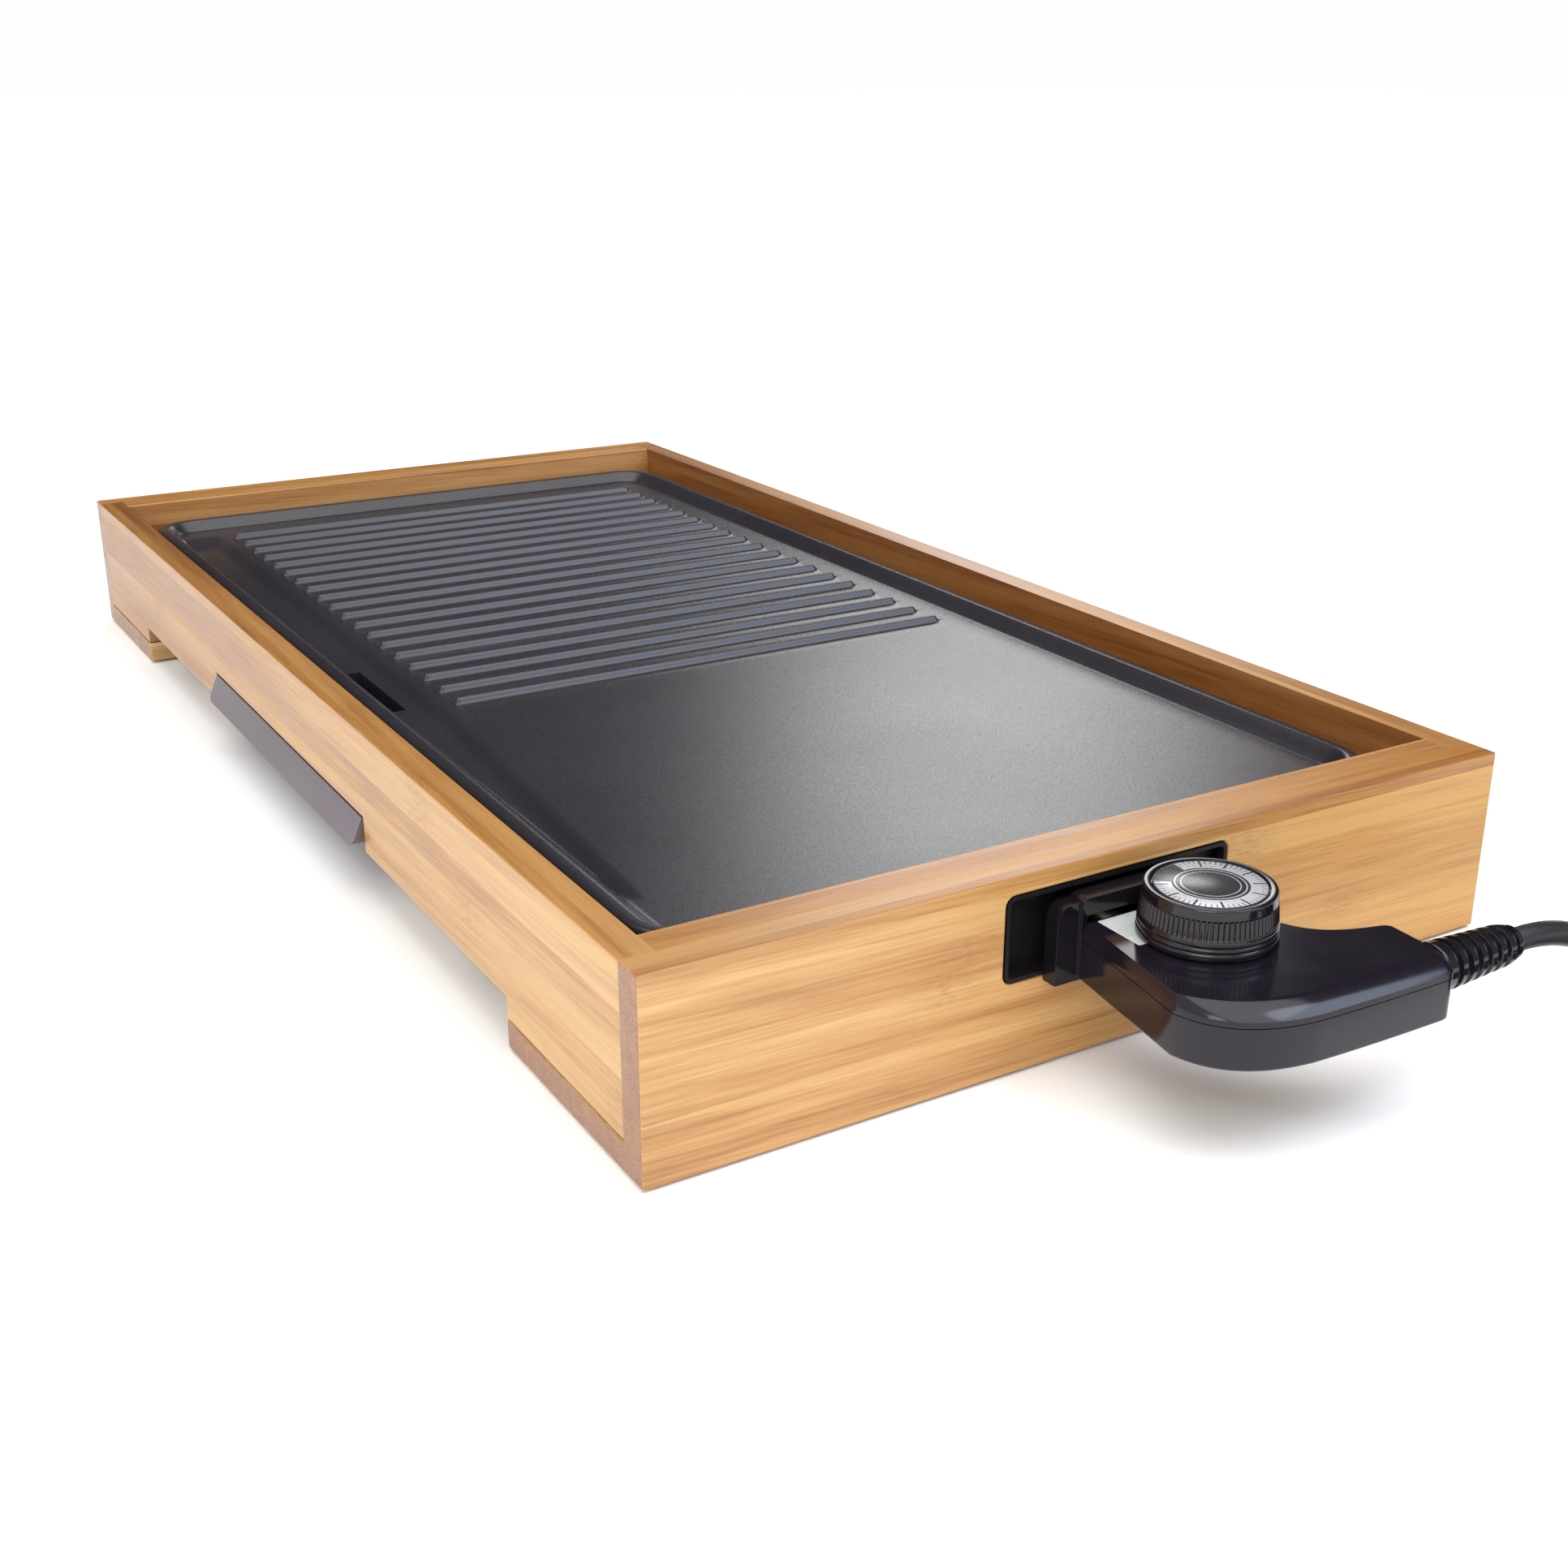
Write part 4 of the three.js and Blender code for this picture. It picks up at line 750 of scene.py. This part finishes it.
def buildKnob(material, printed):
    k = knob
    z = np.concatenate([[0.5], np.arange(1.2, 11.6, 0.2), [12.0, 12.6, 13.2]])
    r = k["foot"] + (k["top"] - k["foot"]) * (z - 0.5) / (k["height"] - 1.0)
    for groove in k["grooves"]:
        r = r - 0.32 * np.exp(-((z - groove) / 0.22) ** 2)
    r = r + 0.16 * np.exp(-((z - 4.3) / 0.3) ** 2)
    top, rim = k["height"], k["top"]
    bead = [(rim - 0.02, top - 0.4), (rim - 0.14, top - 0.16), (rim - 0.36, top - 0.03), (rim - 0.6, top),
            (rim - 1.8, top), (rim - 1.98, top - 0.06), (rim - 2.05, top - 0.2),
            (rim - 2.05, top - k["recess"]), (0, top - k["recess"])]
    under = [(0, 9.8), (3.12, 9.8), (3.12, 0.6), (5.12, 0.6), (5.12, 10.6), (rim - 2, 10.6), (16.75, 0.0),
             (18.2, 0.0), (18.55, 0.15)]
    profile = np.array(under + list(zip(r, z)) + bead)

    def flutes(radius, height, angle):
        # shallow upright grooves between two heights
        low, high = k["fluteZ"]
        band = ease((height - low) / 0.5) * ease((high - height) / 0.5) * (radius > 17)
        return radius - k["fluteDepth"] * band * (0.5 - 0.5 * np.cos(k["flutes"] * angle)) ** 0.8

    at = np.array([*k["at"], k["low"]]) + plugAt
    piece = lathe("knobCap", profile, at, (0, 0, 1), "knob", material, k["flutes"] * 9,
                  flutes, 40)
    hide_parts("knob")
    dial = [(0, top - 0.5), (0, top - 0.1), (k["dial"] - 0.15, top - 0.1), (k["dial"], top - 0.2),
            (k["dial"], top - 0.5)]
    face = lathe("dialPlate", dial, at, (0, 0, 1), "knob", printed, 96)
    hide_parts("dial_plate")


def dialFinish():
    # silver print on a black disc: a graduated outer ring and two thin rings round a plain centre,
    # worked out from the distance r and the angle round the knob's axis
    r = Recipe("dial_print")
    centre = toRow([*knob["at"], 0], plugAt)
    place = r.stretch((1000, 1000, 1000), shift=tuple(-1000 * c for c in centre))
    parts = r.add("ShaderNodeSeparateXYZ", {0: place}).outputs
    flat = r.add("ShaderNodeCombineXYZ", {0: parts[0], 1: parts[1], 2: 0.0}).outputs[0]
    radius = r.add("ShaderNodeVectorMath", {0: flat}, operation="LENGTH").outputs["Value"]
    turn = r.math("ADD", r.math("DIVIDE", r.math("ARCTAN2", parts[1], parts[0]), 2 * pi), 0.5)

    def between(low, high, soft=0.08):
        up = r.range(radius, low - soft, low + soft, 0, 1)
        return r.math("MULTIPLY", up, r.range(radius, high - soft, high + soft, 1, 0))

    def ticks(count, width):
        saw = r.math("ABSOLUTE", r.math("SUBTRACT", r.math("FRACT", r.math("MULTIPLY", turn, count)), 0.5))
        return r.range(saw, 0.5 - width, 0.5 - width * 0.8, 0, 1)

    sector = r.range(turn, 0.14, 0.15, 0, 1)
    inner, outer = knob["band"]
    band = r.math("MULTIPLY", between(inner, outer), sector)
    small = r.math("MULTIPLY", ticks(60, 0.1), between(outer - 1.7, outer))
    large = r.math("MULTIPLY", ticks(12, 0.05), between(inner + 0.8, outer))
    mark = r.math("MAXIMUM", small, large)
    silver = r.math("MULTIPLY", band, r.math("SUBTRACT", 1.0, mark))
    rings = r.math("MAXIMUM", between(9.1, 9.45), between(7.6, 7.85))
    inkless = r.math("MAXIMUM", silver, rings)
    grain = r.noise(r.object, 1800, 2)
    colour = r.mix(inkless, (0.03, 0.029, 0.032), (0.66, 0.65, 0.67))
    return r.finish(colour=colour, roughness=r.range(grain, 0.3, 0.7, 0.2, 0.3),
                    metal=r.math("MULTIPLY", inkless, 0.4))


buildKnob(glossBlack, dialFinish())
print("knob built")


# mains lead: lengths are from leadAt, which stands on the floor

lead = {"radius": 3.5, "coilAt": (107.3, 160.0), "turns": 5.5, "pitch": 7.2, "outerTop": 44.8,
        "innerRow": 30.4, "dip": 2.6, "highZ": 12.2, "lowZ": 5.0, "exit": (62.5, 82.0, 37.5),
        "plugAt": (156.3, 110.0, 18.7),
        "plugRadius": 18.5, "plugLength": 46.0, "pinSpacing": 19.0, "pinRadius": 2.4, "pinLength": 19.0,
        "reliefAt": (62.5, 51.9, 37.5), "reliefLength": 32.0, "reliefRadius": 7.2,
        "tieHalf": 4.5, "tieThick": 0.7, "reliefPitch": 4.0, "reliefGroove": 1.5, "reliefTip": 4.6}


def leadPath():
    # the run hangs from the strain relief to the floor, then the coil's angle turns clockwise while its
    # radius shrinks over two turns, dips and drops a layer in one turn, and grows again below; the tail
    # rises to the plug
    k = lead
    run = [k["exit"], (62.5, 86, 37.5), (62.5, 90, 37.4), (62.5, 97, 36.6), (62.5, 104, 35),
           (62.5, 111, 32.6), (62.5, 118, 29.4), (62.5, 125, 25.9), (62.5, 132, 22.4),
           (62.5, 137, 20.1), (62.5, 143, 17.5),
           (62.5, 149, 15.1), (62.5, 155, 13.2)]
    t = np.arange(0, k["turns"] + 1e-6, 1 / 24)
    drop = np.clip(t - 2, 0, 1)
    radius = np.where(t < 2, k["outerTop"] - k["pitch"] * t,
                      k["innerRow"] + k["pitch"] * np.clip(t - 3, 0, 9))
    radius = radius - k["dip"] * np.sin(pi * drop)
    z = k["highZ"] - (k["highZ"] - k["lowZ"]) * ease(drop)
    a = pi - 2 * pi * t
    cx, cy = k["coilAt"]
    coil = np.stack([cx + radius * np.cos(a), cy + radius * np.sin(a), z], 1)
    tail = [(155.8, 152, 5.3), (155.7, 145, 6.4), (155.7, 138, 8.6), (155.7, 131.4, 11.7),
            (155.9, 126, 14.3), (156.1, 121, 16.5), (156.2, 116, 18.0), (156.3, 111, 18.7)]
    knots = np.concatenate([run, coil, tail])
    # Catmull-Rom through the knots, four points a step
    before = np.vstack([2 * knots[0] - knots[1], knots[:-1]])
    after = np.vstack([knots[1:], 2 * knots[-1] - knots[-2]])
    slope = (after - before) / 2
    u = np.arange(4)[None, :, None] / 4
    p, q, m, n = knots[:-1, None], knots[1:, None], slope[:-1, None], slope[1:, None]
    smooth = ((2 * u**3 - 3 * u**2 + 1) * p + (u**3 - 2 * u**2 + u) * m + (3 * u**2 - 2 * u**3) * q
              + (u**3 - u**2) * n)
    return np.vstack([smooth.reshape(-1, 3), knots[-1]])


def buildLead():
    k = lead
    path = toRow(leadPath(), leadAt)
    curve = bpy.data.curves.new("mainsLead", "CURVE")
    curve.dimensions = "3D"
    spline = curve.splines.new("POLY")
    spline.points.add(len(path) - 1)
    spline.points.foreach_set("co", np.hstack([path, np.ones((len(path), 1))]).ravel())
    spline.use_smooth = True
    curve.bevel_depth, curve.bevel_resolution, curve.use_fill_caps = k["radius"] / 1000, 3, True
    cord = bpy.data.objects.new("mainsLead", curve)
    scene.collection.objects.link(cord)
    curve.materials.append(cordRubber)
    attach(cord, "controller")
    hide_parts("cord", "cord_tail", "cord_coil")

    # strain relief: a tapering sleeve with soft grooves
    y = np.linspace(0.6, k["reliefLength"] - 0.6, 124)
    grooves = np.clip(1 - np.abs(((y - 1.5) % k["reliefPitch"]) - 3) / 1.15, 0, 1) * (y < 29.6) * (y > 1.6)
    r = k["reliefRadius"] - 0.05 * y - k["reliefGroove"] * ease(grooves * 1.7)
    r = np.where(y > 29.6, np.minimum(r, k["reliefTip"] + 0.2), r)
    profile = [(0, 0), (r[0] - 0.5, 0), (r[0] - 0.15, 0.15), *zip(r, y), (k["reliefTip"], 31.7),
               (k["reliefTip"] - 0.4, 32), (0, 32)]
    relief = lathe("strainRelief", profile, np.array(k["reliefAt"]) + leadAt, (0, 1, 0), "controller",
                   glossBlack, 40, angle=50)
    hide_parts("strain_relief")

    # plug: a neck, a swelling body and a grip of shallow ribs round it
    h = np.concatenate([np.linspace(0.5, 13.5, 20), np.linspace(14, 35, 30), np.linspace(36, 45.2, 14)])
    grip = 5.3 + 1.1 * ease(h / 14) + (k["plugRadius"] - 6.4) * ease((h - 15) / 19)
    grip = grip - 0.5 * (0.5 - 0.5 * np.cos(2 * pi * h / 3.2)) * (h < 13.5)
    at = np.array(k["plugAt"]) + leadAt

    def flats(radius, height, angle):
        # eight shallow finger hollows round the widest part
        reach = ease((height - 22) / 8) * ease((43 - height) / 5)
        return radius - 0.5 * reach * (0.5 - 0.5 * np.cos(8 * angle))

    profile = [(0, 0), (4.9, 0), (5.2, 0.15), *zip(grip, h), (k["plugRadius"] - 0.3, 45.7),
               (k["plugRadius"] - 0.9, k["plugLength"]), (0, k["plugLength"])]
    plug = lathe("plugBody", profile, at, (0, -1, 0), "controller", mattBlack, 96, flats)
    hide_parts("plug_body")
    for i, s in enumerate((-1, 1)):
        pinR, pinL = k["pinRadius"], k["pinLength"]
        profile = [(0, 0), (pinR, 0), (pinR, 8.6), (pinR - 0.12, 8.8), (pinR - 0.12, pinL - 2.2),
                   (pinR - 0.5, pinL - 1), (pinR - 1.1, pinL - 0.3), (0, pinL)]
        start = at + np.array([s * k["pinSpacing"] / 2, -k["plugLength"] - 0.3, 0])
        pin = lathe(f"plugPin{i + 1}", profile, start, (0, -1, 0), "controller",
                    contactBrass, 24)
        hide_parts(f"plug_pin_{i + 1}")

    # tie: a flat strap carried round the two layers of the coil, a rounded rectangle in the y-z plane
    cx, cy = k["coilAt"]
    loop = rectLoop(cy + 23.2, 0.35, 30.0, 16.3, 3.0, 7)
    half, thick = k["tieHalf"], k["tieThick"]
    strap = np.stack([insetLoop(loop, d) for d in (0.0, thick, thick, 0.0)])
    xs = np.array([cx - half, cx - half, cx + half, cx + half])
    points = np.concatenate([np.broadcast_to(xs[:, None, None], (4, len(loop), 1)), strap], 2)
    tie = meshPiece("cordTie", toRow(points, leadAt), gridQuads(4, len(loop), True, True), "controller",
                    mattBlack)
    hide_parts("cord_tie")


buildLead()
print("lead built")


# floor and light

studio = {"floor": (0.96, 0.96, 0.96), "floorPale": (0.97, 0.97, 0.97), "floorHalf": 14.0,
          "boxAzimuth": 142.5, "boxElevation": 22.5,
          "boxSpread": 9.5, "boxStrength": 5.2, "front": 0.85, "back": 0.05, "sky": 2.0}


def buildStage():
    half = studio["floorHalf"]
    mesh = bpy.data.meshes.new("floor")
    corners = [(-half, -half, 0), (half, -half, 0), (half, half, 0), (-half, half, 0)]
    mesh.from_pydata(corners, [], [(0, 1, 2, 3)])
    floor = bpy.data.objects.new("floor", mesh)
    scene.collection.objects.link(floor)
    r = Recipe("floor_white")
    tone = r.mix(r.noise(r.object, 3), studio["floor"], studio["floorPale"])
    mesh.materials.append(r.finish(colour=tone, roughness=0.9, specular=0.0))


def buildWorld():
    # white low down all round, dim overhead and behind, a broad soft light on the camera's side and a
    # soft glow low at the far side, whose reflection lies on the smooth half of the plate
    world = bpy.data.worlds.new("studio")
    scene.world = world
    world.use_nodes = True
    tree = world.node_tree
    background = tree.nodes["Background"]

    def add(kind, inputs, **settings):
        node = tree.nodes.new(kind)
        for key, value in settings.items():
            setattr(node, key, value)
        for key, value in inputs.items():
            if isinstance(value, bpy.types.NodeSocket):
                tree.links.new(value, node.inputs[key])
            else:
                node.inputs[key].default_value = value
        return node

    def toward(azimuth, elevation):
        a, e = radians(azimuth), radians(elevation)
        return (cos(a) * cos(e), sin(a) * cos(e), sin(e))

    def smooth(value, low, high, toLow, toHigh):
        inputs = {"Value": value, "From Min": low, "From Max": high, "To Min": toLow, "To Max": toHigh}
        return add("ShaderNodeMapRange", inputs, interpolation_type="SMOOTHSTEP").outputs["Result"]

    way = add("ShaderNodeTexCoord", {}).outputs["Generated"]
    unit = add("ShaderNodeVectorMath", {0: way}, operation="NORMALIZE").outputs[0]

    def near(azimuth, elevation):
        return add("ShaderNodeVectorMath", {0: unit, 1: toward(azimuth, elevation)},
                   operation="DOT_PRODUCT").outputs["Value"]

    glow = smooth(near(studio["boxAzimuth"], studio["boxElevation"]), cos(radians(studio["boxSpread"])),
                  cos(radians(studio["boxSpread"] * 0.25)), 0, studio["boxStrength"])
    fill = smooth(near(-38, 25), -0.25, 0.6, studio["back"], studio["front"])
    up = add("ShaderNodeSeparateXYZ", {0: unit}).outputs[2]
    horizon = smooth(up, 0.026, 0.040, 1.0, 0.0)
    total = add("ShaderNodeMath", {0: glow, 1: fill}, operation="ADD").outputs[0]
    lit = add("ShaderNodeMath", {0: total, 1: horizon}, operation="MAXIMUM").outputs[0]
    background.inputs["Color"].default_value = (1, 0.995, 0.985, 1)
    tree.links.new(lit, background.inputs["Strength"])


def buildLights():
    # name: (position, aim, size, power, colour)
    lights = {"keyLight": ((1.7, -1.7, 1.6), (0, 0, 0), 1.6, 27, (1, 0.97, 0.93)),
              "sideLight": ((1.35, 1.45, 2.3), (0, 0, 0), 1.7, 32, (0.66, 0.77, 1.0))}
    for name, (at, aim, size, power, colour) in lights.items():
        data = bpy.data.lights.new(name, "AREA")
        data.shape, data.size, data.energy, data.color = "DISK", size, power, colour
        light = bpy.data.objects.new(name, data)
        scene.collection.objects.link(light)
        turn = (Vector(aim) - Vector(at)).to_track_quat("-Z", "Y")
        light.matrix_world = Matrix.Translation(Vector(at)) @ turn.to_matrix().to_4x4()
    # a wide soft sun straight above keeps the floor evenly white
    data = bpy.data.lights.new("skyLight", "SUN")
    data.energy, data.angle = studio["sky"], radians(70)
    scene.collection.objects.link(bpy.data.objects.new("skyLight", data))


buildStage()
buildWorld()
buildLights()
scene.view_settings.view_transform = "Standard"
print("stage and lights set")
